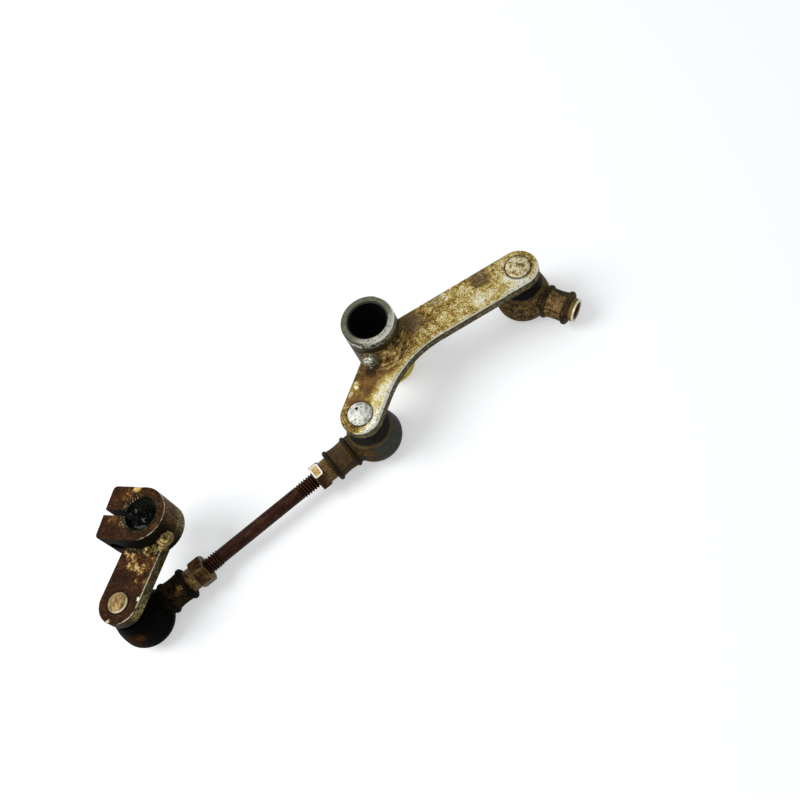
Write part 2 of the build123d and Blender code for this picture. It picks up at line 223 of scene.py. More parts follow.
@effect("worn edge", Point=ORIGIN, Width=0.5, Broken=0.5, Least=0.03, Most=0.25)
def worn_edge(group, given):
    """Edges rubbed bare: the mask follows every sharp or rounded edge within Width."""
    radius = calc(group, "MULTIPLY", given["Width"], MM)
    rounded = add(group, "Bevel", {"samples": 6}, Radius=radius)
    plain = add(group, "NewGeometry")
    match = calc_vector(group, "DOT_PRODUCT", rounded.outputs[0], plain.outputs["Normal"]).outputs["Value"]
    bend = fade(group, calc(group, "SUBTRACT", 1.0, match), given["Least"], given["Most"])
    cloud = add(group, "TexNoise", Vector=given["Point"], Scale=0.5, Detail=5.0, Roughness=0.7)
    whole = calc(group, "SUBTRACT", 1.0, given["Broken"])
    uneven = calc(group, "ADD", cloud.outputs[0], calc(group, "SUBTRACT", whole, 0.5))
    broken = fade(group, uneven, 0.35, 0.6)
    return calc(group, "MULTIPLY", bend, broken)


@effect("worn border", Width=4.0, Side=(0.0, -1.0, 0.0), Least=0.05, Most=0.4)
def worn_border(group, given):
    """A band along the edges that look towards Side, Width across, as hands and boots rub it."""
    radius = calc(group, "MULTIPLY", given["Width"], MM)
    rounded = add(group, "Bevel", {"samples": 8}, Radius=radius)
    towards = calc_vector(group, "DOT_PRODUCT", rounded.outputs[0], given["Side"]).outputs["Value"]
    return fade(group, towards, given["Least"], given["Most"])


@effect("facing", Side=(0.0, 0.0, 1.0), Least=0.5, Most=0.8)
def facing(group, given):
    """How squarely the surface looks towards Side."""
    plain = add(group, "NewGeometry")
    towards = calc_vector(group, "DOT_PRODUCT", plain.outputs["Normal"], given["Side"]).outputs["Value"]
    return fade(group, towards, given["Least"], given["Most"])


@effect("rounded rim", Up=(0.0, 0.0, 1.0), Side=(0.0, -1.0, 0.0), Least=0.12, Most=0.94, Square=0.3)
def rounded_rim(group, given):
    """The rounded edge between a face that looks along Up and its wall, where it looks towards Side."""
    normal = add(group, "NewGeometry").outputs["Normal"]
    up = calc_vector(group, "DOT_PRODUCT", normal, given["Up"]).outputs["Value"]
    side = calc_vector(group, "DOT_PRODUCT", normal, given["Side"]).outputs["Value"]
    low = fade(group, up, calc(group, "SUBTRACT", given["Least"], 0.06), given["Least"])
    high = fade(group, up, given["Most"], calc(group, "ADD", given["Most"], 0.05), invert=True)
    towards = fade(group, side, calc(group, "MULTIPLY", given["Square"], 0.3), given["Square"])
    return calc(group, "MULTIPLY", calc(group, "MULTIPLY", low, high), towards)


@effect("pits", Point=ORIGIN, Size=0.8, Share=0.3, Many=0.5)
def pits(group, given):
    """Small round pits: Size of the cells they sit in, Share of each cell, and how many cells have one."""
    scale = calc(group, "DIVIDE", 1.0, given["Size"])
    warp = add(group, "TexNoise", Vector=given["Point"], Scale=1.6, Detail=3.0)
    shifted = calc_vector(group, "ADD", given["Point"], warp.outputs["Color"]).outputs["Vector"]
    cells = add(group, "TexVoronoi", Vector=shifted, Scale=scale, Randomness=1.0)
    inner = calc(group, "MULTIPLY", given["Share"], 0.6)
    pit = fade(group, cells.outputs["Distance"], inner, given["Share"], invert=True)
    split = add(group, "SeparateColor", Color=cells.outputs["Color"])
    above = calc(group, "ADD", given["Many"], 0.02)
    chosen = fade(group, split.outputs[0], given["Many"], above, invert=True)
    return calc(group, "MULTIPLY", pit, chosen)


@effect("crevice grime and shade", Reach=2.0, Least=0.35, Most=0.85)
def crevice(group, given):
    """Corners and gaps that hold grease and grime, as deep as Reach, found by ambient occlusion; the mask
    also paints shade there.
    """
    reach = calc(group, "MULTIPLY", given["Reach"], MM)
    open_sky = add(group, "AmbientOcclusion", {"samples": 8}, Distance=reach)
    return fade(group, open_sky.outputs["AO"], given["Least"], given["Most"], invert=True)


@effect("distance from axis", "Distance", Point=ORIGIN, Centre=ORIGIN, Axis=(0.0, 0.0, 1.0))
def axis_reach(group, given):
    """Distance from an axis through Centre along Axis."""
    offset = calc_vector(group, "SUBTRACT", given["Point"], given["Centre"]).outputs["Vector"]
    across = calc_vector(group, "CROSS_PRODUCT", offset, given["Axis"]).outputs["Vector"]
    return calc_vector(group, "LENGTH", across).outputs["Value"]


@effect("crests", "Value", Amount=3.0)
def crests(group, given):
    """How far a bumpy mesh stands out or sinks in at a place, times Amount; added to a field, it paints
    highlights on crests and shade in hollows.
    """
    standing = add(group, "NewGeometry").outputs["Pointiness"]
    return calc(group, "MULTIPLY", calc(group, "SUBTRACT", standing, 0.5), given["Amount"])


class Surface:
    """A finish in the making: its colour, roughness, metal and height so far."""

    def __init__(self, name, colour, rough, metal=0.0):
        self.material = bpy.data.materials.new(name)
        self.material.use_nodes = True
        self.tree = self.material.node_tree
        self.tree.nodes.clear()
        place = add(self.tree, "TexCoord")
        scaled = calc_vector(self.tree, "MULTIPLY", place.outputs["Object"], (1 / MM, 1 / MM, 1 / MM))
        self.point = scaled.outputs["Vector"]
        self.colour = colour
        self.rough = rough
        self.metal = metal
        self.height = 0.0

    def moved(self, *shift):
        """The surface's point, shifted, so that the same effect gives other patches."""
        return calc_vector(self.tree, "ADD", self.point, shift).outputs["Vector"]

    def offset(self, place):
        """The way from a place to the surface's point."""
        return calc_vector(self.tree, "SUBTRACT", self.point, place).outputs["Vector"]

    def distance(self, place):
        """How far the surface's point is from a place."""
        return calc_vector(self.tree, "DISTANCE", self.point, place).outputs["Value"]

    def dot(self, vector, direction):
        """How far a vector reaches along a direction."""
        return calc_vector(self.tree, "DOT_PRODUCT", vector, direction).outputs["Value"]

    def split(self, vector):
        """The X, Y and Z of a vector."""
        return add(self.tree, "SeparateXYZ", Vector=vector).outputs

    def stretched(self, direction, factor):
        """The surface's point, squeezed along a direction, so that patches run along it."""
        change = calc(self.tree, "MULTIPLY", self.dot(self.point, direction), factor - 1)
        along = add(self.tree, "VectorMath", {"operation": "SCALE"}, Scale=change)
        wire(self.tree, along.inputs[0], direction)
        return calc_vector(self.tree, "ADD", self.point, along.outputs["Vector"]).outputs["Vector"]

    def use(self, name, **values):
        """The output of a shared effect, with its own values here."""
        node = self.tree.nodes.new("ShaderNodeGroup")
        node.node_tree = EFFECTS[name]
        if "Point" in node.inputs:
            wire(self.tree, node.inputs["Point"], self.point)
        for title, value in values.items():
            wire(self.tree, node.inputs[title.replace("_", " ")], value)
        return node.outputs[0]

    def cloud(self, size, amount, shift=None, point=None):
        """Soft unevenness about nought, at the surface's point, shifted, or at another point."""
        point = self.moved(*shift) if shift else point or self.point
        return self.use("cloud", Point=point, Size=size, Amount=amount)

    def blotches(self, size, cover, softness=0.06, shift=None, point=None):
        """Uneven patches, at the surface's point, shifted, or at another point."""
        point = self.moved(*shift) if shift else point or self.point
        return self.use("blotches", Point=point, Size=size, Cover=cover, Softness=softness)

    def spot(self, centre, radius, softness, ragged, point=None):
        """A round patch with a ragged border."""
        return self.use("ragged spot", Point=point or self.point, Centre=centre, Radius=radius,
                        Softness=softness, Ragged=ragged)

    def facing(self, side, least, most):
        """How squarely the surface looks towards a side."""
        return self.use("facing", Side=side, Least=least, Most=most)

    def axis_reach(self, centre=(0, 0, 0), axis=(0, 0, 1)):
        """How far the surface's point is from an axis."""
        return self.use("distance from axis", Centre=centre, Axis=axis)

    def rise(self, value, low, high):
        """0 below low, 1 above high and smooth between."""
        return fade(self.tree, value, low, high)

    def fall(self, value, low, high):
        """1 below low, 0 above high and smooth between."""
        return fade(self.tree, value, low, high, invert=True)

    def band(self, value, start, full, last, end):
        """1 from full to last, 0 before start and past end."""
        return self.times(self.rise(value, start, full), self.fall(value, last, end))

    def times(self, first, *others):
        """Masks multiplied together."""
        for other in others:
            first = calc(self.tree, "MULTIPLY", first, other)
        return first

    def most(self, first, *others):
        """The strongest of several masks."""
        for other in others:
            first = calc(self.tree, "MAXIMUM", first, other)
        return first

    def total(self, first, *others):
        """Several values added up."""
        for other in others:
            first = calc(self.tree, "ADD", first, other)
        return first

    def inverse(self, mask):
        """1 where the mask is 0."""
        return calc(self.tree, "SUBTRACT", 1.0, mask)

    def without(self, mask, other):
        """A mask where the other one isn't."""
        return calc(self.tree, "MULTIPLY", mask, self.inverse(other))

    def blend(self, mask, under, over):
        """A value that goes from one to another where the mask is 1."""
        mix = add(self.tree, "Mix", {"data_type": "FLOAT"})
        wire(self.tree, mix.inputs[0], mask)
        wire(self.tree, mix.inputs[2], under)
        wire(self.tree, mix.inputs[3], over)
        return mix.outputs[0]

    def lay(self, mask, colour=None, rough=None, metal=None, height=None):
        """Lays a coat over what is there, where the mask is 1. Height is in millimetres."""
        if colour is not None:
            mix = add(self.tree, "Mix", {"data_type": "RGBA"})
            wire(self.tree, mix.inputs[0], mask)
            wire(self.tree, mix.inputs[6], self.colour)
            wire(self.tree, mix.inputs[7], colour)
            self.colour = mix.outputs[2]
        if rough is not None:
            self.rough = self.blend(mask, self.rough, rough)
        if metal is not None:
            self.metal = self.blend(mask, self.metal, metal)
        if height is not None:
            self.height = calc(self.tree, "ADD", self.height, self.times(mask, height))

    def shade(self, field, soft, *steps):
        """Lays one colour after another, each where the field has risen to its level.
        A step is its level, red, green and blue."""
        for level, red, green, blue in steps:
            self.lay(self.rise(field, level - soft, level + soft), srgb(red, green, blue))

    def grime_and_shade(self, reach, least, most, share, colour, rough, metal=0.0):
        """Grease and grime that corners and gaps hold, and painted shade there: the colour darkens where
        ambient occlusion finds a corner.
        """
        crevice = self.use("crevice grime and shade", Reach=reach, Least=least, Most=most)
        self.lay(self.times(crevice, share), colour, rough, metal)

    def grain(self, size, height, seed=0.0):
        """Fine unevenness all over."""
        cloud = add(self.tree, "TexNoise", Vector=self.moved(seed, 0, 0), Scale=1 / size,
                    Detail=4.0, Roughness=0.6)
        self.height = self.total(self.height, self.times(cloud.outputs[0], height))

    def done(self, specular=0.2):
        """Puts it all into the shader and gives the material."""
        shader = add(self.tree, "BsdfPrincipled")
        shader.inputs["Specular IOR Level"].default_value = specular
        wire(self.tree, shader.inputs["Base Color"], self.colour)
        wire(self.tree, shader.inputs["Roughness"], self.rough)
        wire(self.tree, shader.inputs["Metallic"], self.metal)
        if isinstance(self.height, bpy.types.NodeSocket):
            bump = add(self.tree, "Bump", Height=self.height, Distance=MM)
            wire(self.tree, shader.inputs["Normal"], bump.outputs[0])
        end = add(self.tree, "OutputMaterial")
        wire(self.tree, end.inputs["Surface"], shader.outputs[0])
        return self.material


# Colours, as they look in the photograph
UMBER = srgb(40, 26, 14)
SILVER = srgb(236, 236, 228)
OLIVE_STEEL = srgb(88, 82, 56)
YELLOW_PAINT = srgb(250, 220, 36)
WET_GLINT = srgb(226, 236, 226)
RED_BROWN = srgb(114, 74, 42)
GREY_CAST = srgb(96, 88, 70)
BLACK = (0.0, 0.0, 0.0, 1.0)
WHITE = (1.0, 1.0, 1.0, 1.0)

# Sides that are rubbed or lit
LOWER_RIGHT = (0.3, -0.95, 0.0)
BELOW = (0.2, -0.98, 0)

# Zones on the bellcrank's top: x, y, radius and how much paler (or, below nought, how much darker)
PLATE_ZONES = (
    (-19, -17.5, 6.5, -0.18), (-31, -19.5, 4.0, -0.1), (-6, -18, 5.0, -0.12), (8, -16, 5.5, 0.0),
    (-14.4, -15.6, 2.4, -0.3), (14.9, -12, 4.2, -0.08), (34, -17, 9.0, 0.10), (52, -17.5, 4.4, -0.18),
    (58, -14, 3.5, -0.06), (43.5, -25.5, 4.2, 0.2), (49, -28.5, 3.0, 0.16), (27, -21.5, 3.6, 0.13),
    (19, -21, 3.0, 0.12), (68, -28, 11.0, 0.12), (-23.6, -15.4, 1.5, 0.32), (-22.5, -14.5, 0.9, 0.2),
    (-24.6, -16.4, 0.9, 0.2), (-28.6, -17.0, 0.9, 0.28), (-27.6, -16.8, 0.6, 0.2), (-29.8, -17.6, 0.6, 0.2),
    (62, -34, 4.0, 0.12), (48, -23, 17.0, 0.07), (30, -18, 9.0, -0.02), (60, -31, 5.0, 0.1))

# Stains over them: x, y, radius, raggedness, strength and colour
PLATE_STAINS = (
    (-18.5, -19.5, 4.2, 1.2, 0.5, RED_BROWN), (-28.5, -20.5, 3.4, 1.2, 0.5, RED_BROWN),
    (-9.0, -19.5, 3.0, 1.2, 0.5, RED_BROWN), (58, -13, 3.0, 1.2, 0.5, RED_BROWN),
    (10.5, -13, 3.0, 1.2, 0.5, RED_BROWN), (15.5, -8.5, 4.4, 1.4, 0.65, srgb(120, 97, 66)),
    (52, -17.5, 4.6, 1.0, 0.45, GREY_CAST), (15.5, -12.5, 4.6, 1.0, 0.45, GREY_CAST),
    (30, -9.5, 4.0, 1.0, 0.45, GREY_CAST))

# Zones of flaking on the lever's top, from ball b: along, across, height, radius and amount
FLAKE_ZONES = (
    (22.7, 4.9, LEVER_TOP, 3.2, 0.34), (17.5, 1.0, LEVER_TOP, 3.0, 0.32), (28.1, -3.6, LEVER_TOP, 3.4, 0.44),
    (16.0, -3.5, LEVER_TOP, 2.6, 0.3), (11.5, -8.4, LEVER_TOP, 2.0, 0.26), (11.5, -4.2, LEVER_TOP, 1.2, 0.2),
    (25.0, 1.0, LEVER_TOP, 4.0, 0.12), (20.0, -8.0, LEVER_TOP, 3.5, 0.18), (12.2, 2.7, LEVER_TOP, 3.4, -0.1),
    (44.5, 10.0, 37.2, 2.8, 0.18), (31.7, 11.3, 37.2, 2.4, 0.14), (30.9, 6.4, 37.2, 1.8, 0.2),
    (42.9, -7.5, 37.2, 2.0, 0.12), (47.0, 2.0, 37.2, 3.0, 0.06), (34.0, -9.0, 37.2, 3.0, 0.06))

# Bright dots on the lever's edge: along, across, radius, softness, raggedness and colour
LEVER_DOTS = (
    (-8.8, 1.0, 0.9, 0.4, 0.8, srgb(214, 202, 160)), (3.8, -8.9, 0.8, 0.3, 0.6, srgb(240, 236, 216)))

# Painted highlights, the wet glints in the clamp's bore, in the clamp's own frame: x, y, z and radius
BORE_GLINTS = (
    (6.8, -3.6, 31.0, 0.35), (6.9, -2.9, 30.2, 0.3), (6.2, -1.9, 24.5, 0.45), (5.9, -1.1, 24.1, 0.4),
    (5.6, -2.3, 24.3, 0.35), (5.1, -3.1, 24.3, 0.3), (7.0, 3.4, 28.2, 0.4), (6.9, 3.0, 27.0, 0.5),
    (7.0, 2.5, 25.6, 0.55), (7.0, 2.1, 24.6, 0.6), (6.2, 1.4, 23.6, 0.55), (5.6, 0.7, 22.5, 0.4),
    (8.0, -1.4, 32.0, 0.3), (8.1, 1.0, 32.1, 0.3))

# Rusty marks on boot b and its sleeve: x, y, z, radius and colour
MARKS_B = ((-174.3, -24.2, 16.6, 4.8, srgb(58, 33, 18)), (-171.2, -26.2, 18.4, 2.2, srgb(80, 48, 26)),
           (-144.8, -20.6, 17.2, 1.3, srgb(150, 116, 64)), (-147.0, -21.8, 16.6, 1.1, srgb(96, 66, 36)),
           (-152.0, -15.0, 17.0, 1.4, srgb(76, 52, 30)))

# Dark pits in the short arm's stud head: x, y and radius
PITS_A = ((-31.2, -24.8, 0.75), (-34.4, -24.6, 0.4), (-29.0, -25.8, 0.35), (-31.5, -31.2, 0.35),
          (-28.4, -29.4, 0.3), (-35.0, -28.4, 0.3), (-32.4, -23.2, 0.3))


def bellcrank_finish():
    s = Surface("bellcrank steel", srgb(48, 33, 16), 0.52, 0.1)
    # one field runs from dark rust to bare metal, and every zone and edge adds to it
    calm = s.spot((-17, -18, PLATE_TOP), 15.0, 4.0, 0.8)
    lively = s.without(1.0, s.times(calm, 0.5))
    field = s.total(0.41, s.cloud(7.0, 0.8), s.times(s.cloud(2.2, 0.7, (31, 7, 0)), lively),
                    s.times(s.cloud(0.62, 1.5, (5, 50, 0)), lively))
    for x, y, radius, amount in PLATE_ZONES:
        zone = s.spot((x, y, PLATE_TOP), radius, radius * 0.42, 0.9)
        field = s.total(field, s.times(zone, amount))
    # rubbed bare along the short arm's open side, round below its stud, and thinly along the rest
    inward = s.dot(s.offset((-10, -23.7, 0)), (-0.49, 0.87, 0))
    lengthways = s.dot(s.point, (-0.87, -0.49, 0))
    wavering = s.total(inward, s.cloud(4.0, 5.0, (6, 6, 6)))
    side_band = s.times(s.fall(wavering, 2.0, 7.5), s.rise(lengthways, 17.0, 27.0))
    below = s.dot(s.offset(BALL_A), BELOW)
    end_band = s.times(s.rise(below, 2.5, 6.5), s.rise(lengthways, 20.0, 26.0))
    thin = s.use("worn border", Width=3.4, Side=LOWER_RIGHT, Least=0.0, Most=0.7)
    far_end = s.spot((70, -30, PLATE_TOP), 13.0, 5.0, 1.0)
    field = s.total(field, s.times(s.most(side_band, end_band), 0.32), s.times(thin, 0.22),
                    s.times(thin, far_end, 0.2))
    s.shade(field, 0.04, (0.12, 76, 54, 26), (0.23, 104, 78, 36), (0.34, 138, 109, 50), (0.45, 172, 144, 72),
            (0.56, 210, 192, 118), (0.67, 240, 230, 186), (0.8, 248, 248, 240))
    for x, y, radius, ragged, strength, colour in PLATE_STAINS:
        s.lay(s.times(s.spot((x, y, PLATE_TOP), radius, 2.0, ragged), strength), colour)
    bare = s.rise(field, 0.5, 0.8)
    s.lay(bare, rough=0.34, metal=0.55)
    s.height = s.times(field, 0.14)
    s.lay(s.times(bare, s.use("pits", Size=0.9, Share=0.42, Many=0.35)), OLIVE_STEEL, 0.6, 0.2, -0.05)
    # the bar's edge, and the rounds between it and the top: painted shade on the rounds that look away, and
    # on those to the lower right bare metal with a painted highlight
    wall = s.inverse(s.facing((0, 0, 1), 0.3, 0.6))
    s.lay(wall, srgb(92, 80, 54), 0.6, 0.1)
    s.lay(s.times(wall, s.blotches(2.4, 0.45, shift=(0, 0, 40))), srgb(130, 120, 86), 0.5, 0.2)
    s.lay(s.times(wall, s.blotches(1.0, 0.36, shift=(0, 40, 40))), srgb(42, 31, 17), 0.6, 0.0)
    shaded = s.use("rounded rim", Side=(-0.3, 0.95, 0), Least=0.2, Most=0.8)
    s.lay(s.times(shaded, 0.8), srgb(60, 50, 30), 0.6, 0.1)
    rim = s.use("rounded rim", Side=LOWER_RIGHT, Least=0.35, Most=0.6)
    s.lay(s.times(rim, s.blotches(2.4, 0.7, 0.08, (2, 2, 2))), srgb(248, 246, 228), 0.32, 0.5)
    # a darker ring round each stud head, where it meets the plate
    for stud, width in ((BALL_A, 0.6), (BALL_C, 0.8)):
        ring = s.band(s.axis_reach(stud), STUD_HEAD_RADIUS - 0.25, STUD_HEAD_RADIUS + 0.05,
                      STUD_HEAD_RADIUS - 0.15 + width, STUD_HEAD_RADIUS + 0.45 + width)
        uneven = s.blotches(3.0, 0.75, 0.2, (0, 0, 90))
        s.lay(s.times(ring, s.total(0.35, s.times(uneven, 0.55))), srgb(26, 20, 12), 0.6, 0.0)
    s.grime_and_shade(3.0, 0.3, 0.8, 0.8, srgb(34, 23, 12), 0.7)
    s.grain(0.5, 0.05)
    return s.done(0.1)


def tube_finish():
    s = Surface("tube steel", srgb(72, 62, 40), 0.5, 0.2)
    # painted light and shade: the tube is paler towards +X and darker towards -X
    lit_right_side = s.rise(s.dot(s.point, (0.95, -0.3, 0)), -4.0, 10.0)
    field = s.total(0.4, s.cloud(5.0, 0.8), s.cloud(1.1, 0.9, (0, 9, 0)), s.times(lit_right_side, 0.36), -0.2)
    s.shade(field, 0.06, (0.3, 84, 72, 46), (0.42, 106, 93, 60), (0.54, 132, 122, 86), (0.68, 176, 172, 144))
    reach = s.axis_reach()
    height = s.split(s.point)["Z"]
    # heat stain and painted shade low on the wall by the weld, and pale streaks just under the rim that are a
    # painted highlight
    heat_stain_and_shade = s.fall(s.total(height, s.cloud(3.0, 4.0, (0, 130, 0))), PLATE_TOP + 1.0, PLATE_TOP + 7.5)
    weld_side = s.facing((-0.3, -0.95, 0), -0.4, 0.2)
    above_plate = s.rise(height, PLATE_TOP - 1.0, PLATE_TOP)
    s.lay(s.times(heat_stain_and_shade, weld_side, above_plate, 0.88), srgb(42, 32, 18), 0.65, 0.1)
    under_rim = s.times(s.rise(height, TUBE_TOP - 4.5, TUBE_TOP - 3.3), s.facing((-0.5, -0.86, 0), 0.2, 0.8))
    s.lay(s.times(under_rim, s.blotches(1.8, 0.45, 0.08, (0, 0, 50))), srgb(214, 216, 200), 0.36, 0.5)
    # the end face, with the rings that its tool left
    face = s.times(s.facing((0, 0, 1), 0.5, 0.8), s.rise(height, TUBE_TOP - 1.4, TUBE_TOP - 1.1))
    s.lay(face, srgb(112, 111, 93), 0.42, 0.4)
    rings = add(s.tree, "TexNoise", {"noise_dimensions": "1D"}, W=reach, Scale=3.2, Detail=3.0).outputs[0]
    s.lay(s.times(face, s.rise(rings, 0.5, 0.7), 0.5), srgb(140, 139, 118), 0.38, 0.5)
    s.lay(s.times(face, s.blotches(1.4, 0.42, shift=(7, 7, 7)), 0.7), srgb(84, 80, 60), 0.5, 0.3)
    # side that is rubbed bright, with its speckles
    handled = s.rise(s.total(s.dot(s.point, (-0.05, -1.0, 0)), s.cloud(2.4, 9.0, (3, 3, 3))), 2.0, 10.5)
    s.lay(s.times(handled, face, 0.85), srgb(214, 213, 198), 0.36, 0.6)
    specks = s.use("pits", Size=0.8, Share=0.5, Many=0.6)
    s.lay(s.times(handled, face, specks), srgb(70, 60, 30), 0.6, 0.2, -0.06)
    inner_rim = s.times(s.fall(reach, TUBE_BORE_RADIUS + 0.75, TUBE_BORE_RADIUS + 0.9),
                        s.rise(height, TUBE_TOP - 1.1, TUBE_TOP - 0.9))
    s.lay(inner_rim, srgb(58, 58, 50), 0.6, 0.1)
    # worn outer rim with a painted highlight on its lower right
    rim = s.use("rounded rim", Side=(0.72, -0.69, 0), Least=0.2, Most=0.95, Square=0.3)
    outer = s.rise(reach, TUBE_BORE_RADIUS + 1.4, TUBE_BORE_RADIUS + 1.8)
    s.lay(s.times(rim, outer), srgb(250, 250, 244), 0.3, 0.7)
    far_rim = s.use("rounded rim", Side=(-0.72, 0.69, 0), Least=0.2, Most=0.95, Square=0.1)
    s.lay(s.times(far_rim, 0.9), srgb(58, 58, 48), 0.5, 0.2)
    # painted shade: the bore's wall is made near black
    bore = s.fall(reach, TUBE_BORE_RADIUS + 0.05, TUBE_BORE_RADIUS + 0.2)
    s.lay(bore, srgb(3, 5, 7), 0.85, 0.0)
    # paint mark on the lower end
    paint_top = s.total(height, s.cloud(5.0, 9.0, (0, 110, 0)))
    paint = s.times(s.fall(paint_top, 11.5, 12.0), s.facing((0.42, -0.9, 0), -0.35, 0.0),
                    s.blotches(2.5, 1.1, 0.05, (0, 30, 0)))
    s.lay(s.without(paint, bore), YELLOW_PAINT, 0.35, 0.0, 0.08)
    dull_paint = s.times(paint, s.blotches(3.0, 0.34, shift=(0, 70, 0)))
    s.lay(s.without(dull_paint, bore), srgb(150, 108, 20))
    foot = s.fall(height, 0.3, 1.2)
    s.lay(s.without(s.times(foot, 0.7), bore), srgb(170, 176, 120), 0.4, 0.4)
    s.grain(0.9, 0.08)
    return s.done(0.12)


def weld_finish():
    s = Surface("weld", srgb(38, 24, 12), 0.55, 0.1)
    reach = s.axis_reach()
    near_tube = s.fall(reach, TUBE_RADIUS + 0.2, TUBE_RADIUS + 2.2)
    far_out = s.rise(reach, 19.5, 22.5)
    # streaks run round the tube, as the passes were laid
    parts = s.split(s.point)
    round_it = s.times(calc(s.tree, "ARCTAN2", parts["Y"], parts["X"]), 4.5)
    curled = add(s.tree, "CombineXYZ", X=s.total(reach, s.cloud(5.0, 6.0)), Y=round_it).outputs[0]
    # crests make ridges lighter and hollows darker, painted highlight and shade, and the weld is painted
    # darker next to the tube as shade
    field = s.total(0.48, s.cloud(3.6, 0.8, (4, 40, 0)), s.cloud(1.0, 1.7, point=curled),
                    s.use("crests", Amount=1.6), s.times(near_tube, -0.16), s.times(far_out, 0.06))
    s.shade(field, 0.05, (0.14, 66, 44, 22), (0.27, 100, 73, 35), (0.41, 136, 106, 54),
            (0.55, 172, 146, 84), (0.7, 218, 200, 140))
    s.height = s.times(field, 0.25)
    smooth = s.spot((13.5, -9.5, 34.8), 4.4, 2.0, 1.4)
    s.lay(s.times(smooth, 0.7), srgb(120, 97, 62), 0.5, 0.1)
    s.grime_and_shade(2.0, 0.35, 0.85, 0.85, srgb(28, 18, 9), 0.7)
    # painted shade round the lump and in the hollow below it, and on the lump bare metal with a painted
    # highlight
    ring = s.spot(TUBE_BLOB + Vector((0.4, -0.8, 0)), 4.8, 1.0, 0.7)
    s.lay(s.times(ring, 0.75), srgb(38, 24, 12), 0.6, 0.0)
    hollow = s.spot((-12.8, -15.8, 35.0), 3.0, 1.2, 1.0)
    s.lay(s.times(hollow, 0.75), srgb(44, 25, 12), 0.6, 0.0)
    blob = s.spot(TUBE_BLOB + Vector((0, 0, 1.4)), 3.4, 1.0, 1.0)
    s.lay(s.times(blob, 0.85), srgb(92, 88, 66), 0.36, 0.3)
    lit = s.spot(TUBE_BLOB + Vector((-1.2, 1.0, 1.6)), 2.2, 1.4, 1.2)
    bare_and_highlight = s.total(0.37, s.cloud(1.5, 1.2, (0, 80, 0)), s.use("crests", Amount=1.5), s.times(lit, 0.3))
    s.lay(s.times(blob, s.rise(bare_and_highlight, 0.46, 0.56)), srgb(148, 150, 128), 0.34, 0.5)
    s.lay(s.times(blob, s.rise(bare_and_highlight, 0.58, 0.72)), SILVER, 0.3, 0.6)
    s.grain(0.6, 0.08)
    return s.done(0.12)


def clamp_weld_finish():
    s = Surface("clamp weld", srgb(42, 28, 14), 0.5, 0.1)
    bead = s.rise(s.distance(clamp_blob), 3.9, 4.8)
    flaky = s.spot(lever_frame @ Vector((27.0, -6.5, 26.0)), 4.5, 2.5, 0.8)
    crater_at = clamp_blob + crater_side * 3.6
    from_crater = s.distance(crater_at)
    rings = calc(s.tree, "SINE", s.times(s.total(from_crater, s.cloud(2.0, 1.2)), 2 * pi / 1.5))
    rings = s.times(s.without(rings, bead), s.rise(from_crater, 0.6, 1.0))
    facing_light = s.facing((-0.74, -0.1, 0.66), 0.5, 0.95)
    # the bead is laid darker, partly as painted shade at the clamp's foot; crests and facing_light paint
    # highlight and shade on the relief
    on_bead = s.total(-0.34, s.times(flaky, 0.26), s.cloud(2.3, 2.4, (17, 0, 0)))
    field = s.total(0.49, s.cloud(2.4, 0.9), s.cloud(0.8, 0.6, (7, 0, 0)), s.use("crests", Amount=0.8),
                    s.times(rings, 0.12), s.times(facing_light, 0.1), s.times(bead, on_bead))
    s.shade(field, 0.05, (0.16, 70, 50, 24), (0.3, 100, 82, 43), (0.44, 132, 116, 66),
            (0.58, 176, 152, 92), (0.72, 240, 210, 138))
    s.height = s.total(s.times(field, 0.25), s.times(rings, 0.06))
    s.lay(s.spot(crater_at, 0.6, 0.2, 0.1), srgb(12, 9, 6), 0.8, 0.0)
    s.grime_and_shade(1.5, 0.35, 0.8, 0.8, UMBER, 0.7)
    return s.done(0.1)


def squeezed(point, direction, factor):
    """Where a point goes when space is squeezed along a direction, as Surface.stretched does."""
    return point + direction * (point.dot(direction) * (factor - 1))


def lay_glints(s, mask=None):
    """Paints the wet glints in the clamp's bore as highlights, each drawn out along its axis."""
    drawn_out = s.stretched(collar_axis, 0.5)
    for x, y, z, radius in BORE_GLINTS:
        centre = squeezed(collar_frame @ Vector((x, y, z)), collar_axis, 0.5)
        glint = s.spot(centre, radius, 0.2, 0.5, point=drawn_out)
        s.lay(s.times(mask, glint) if mask else glint, WET_GLINT, 0.2, 0.0)


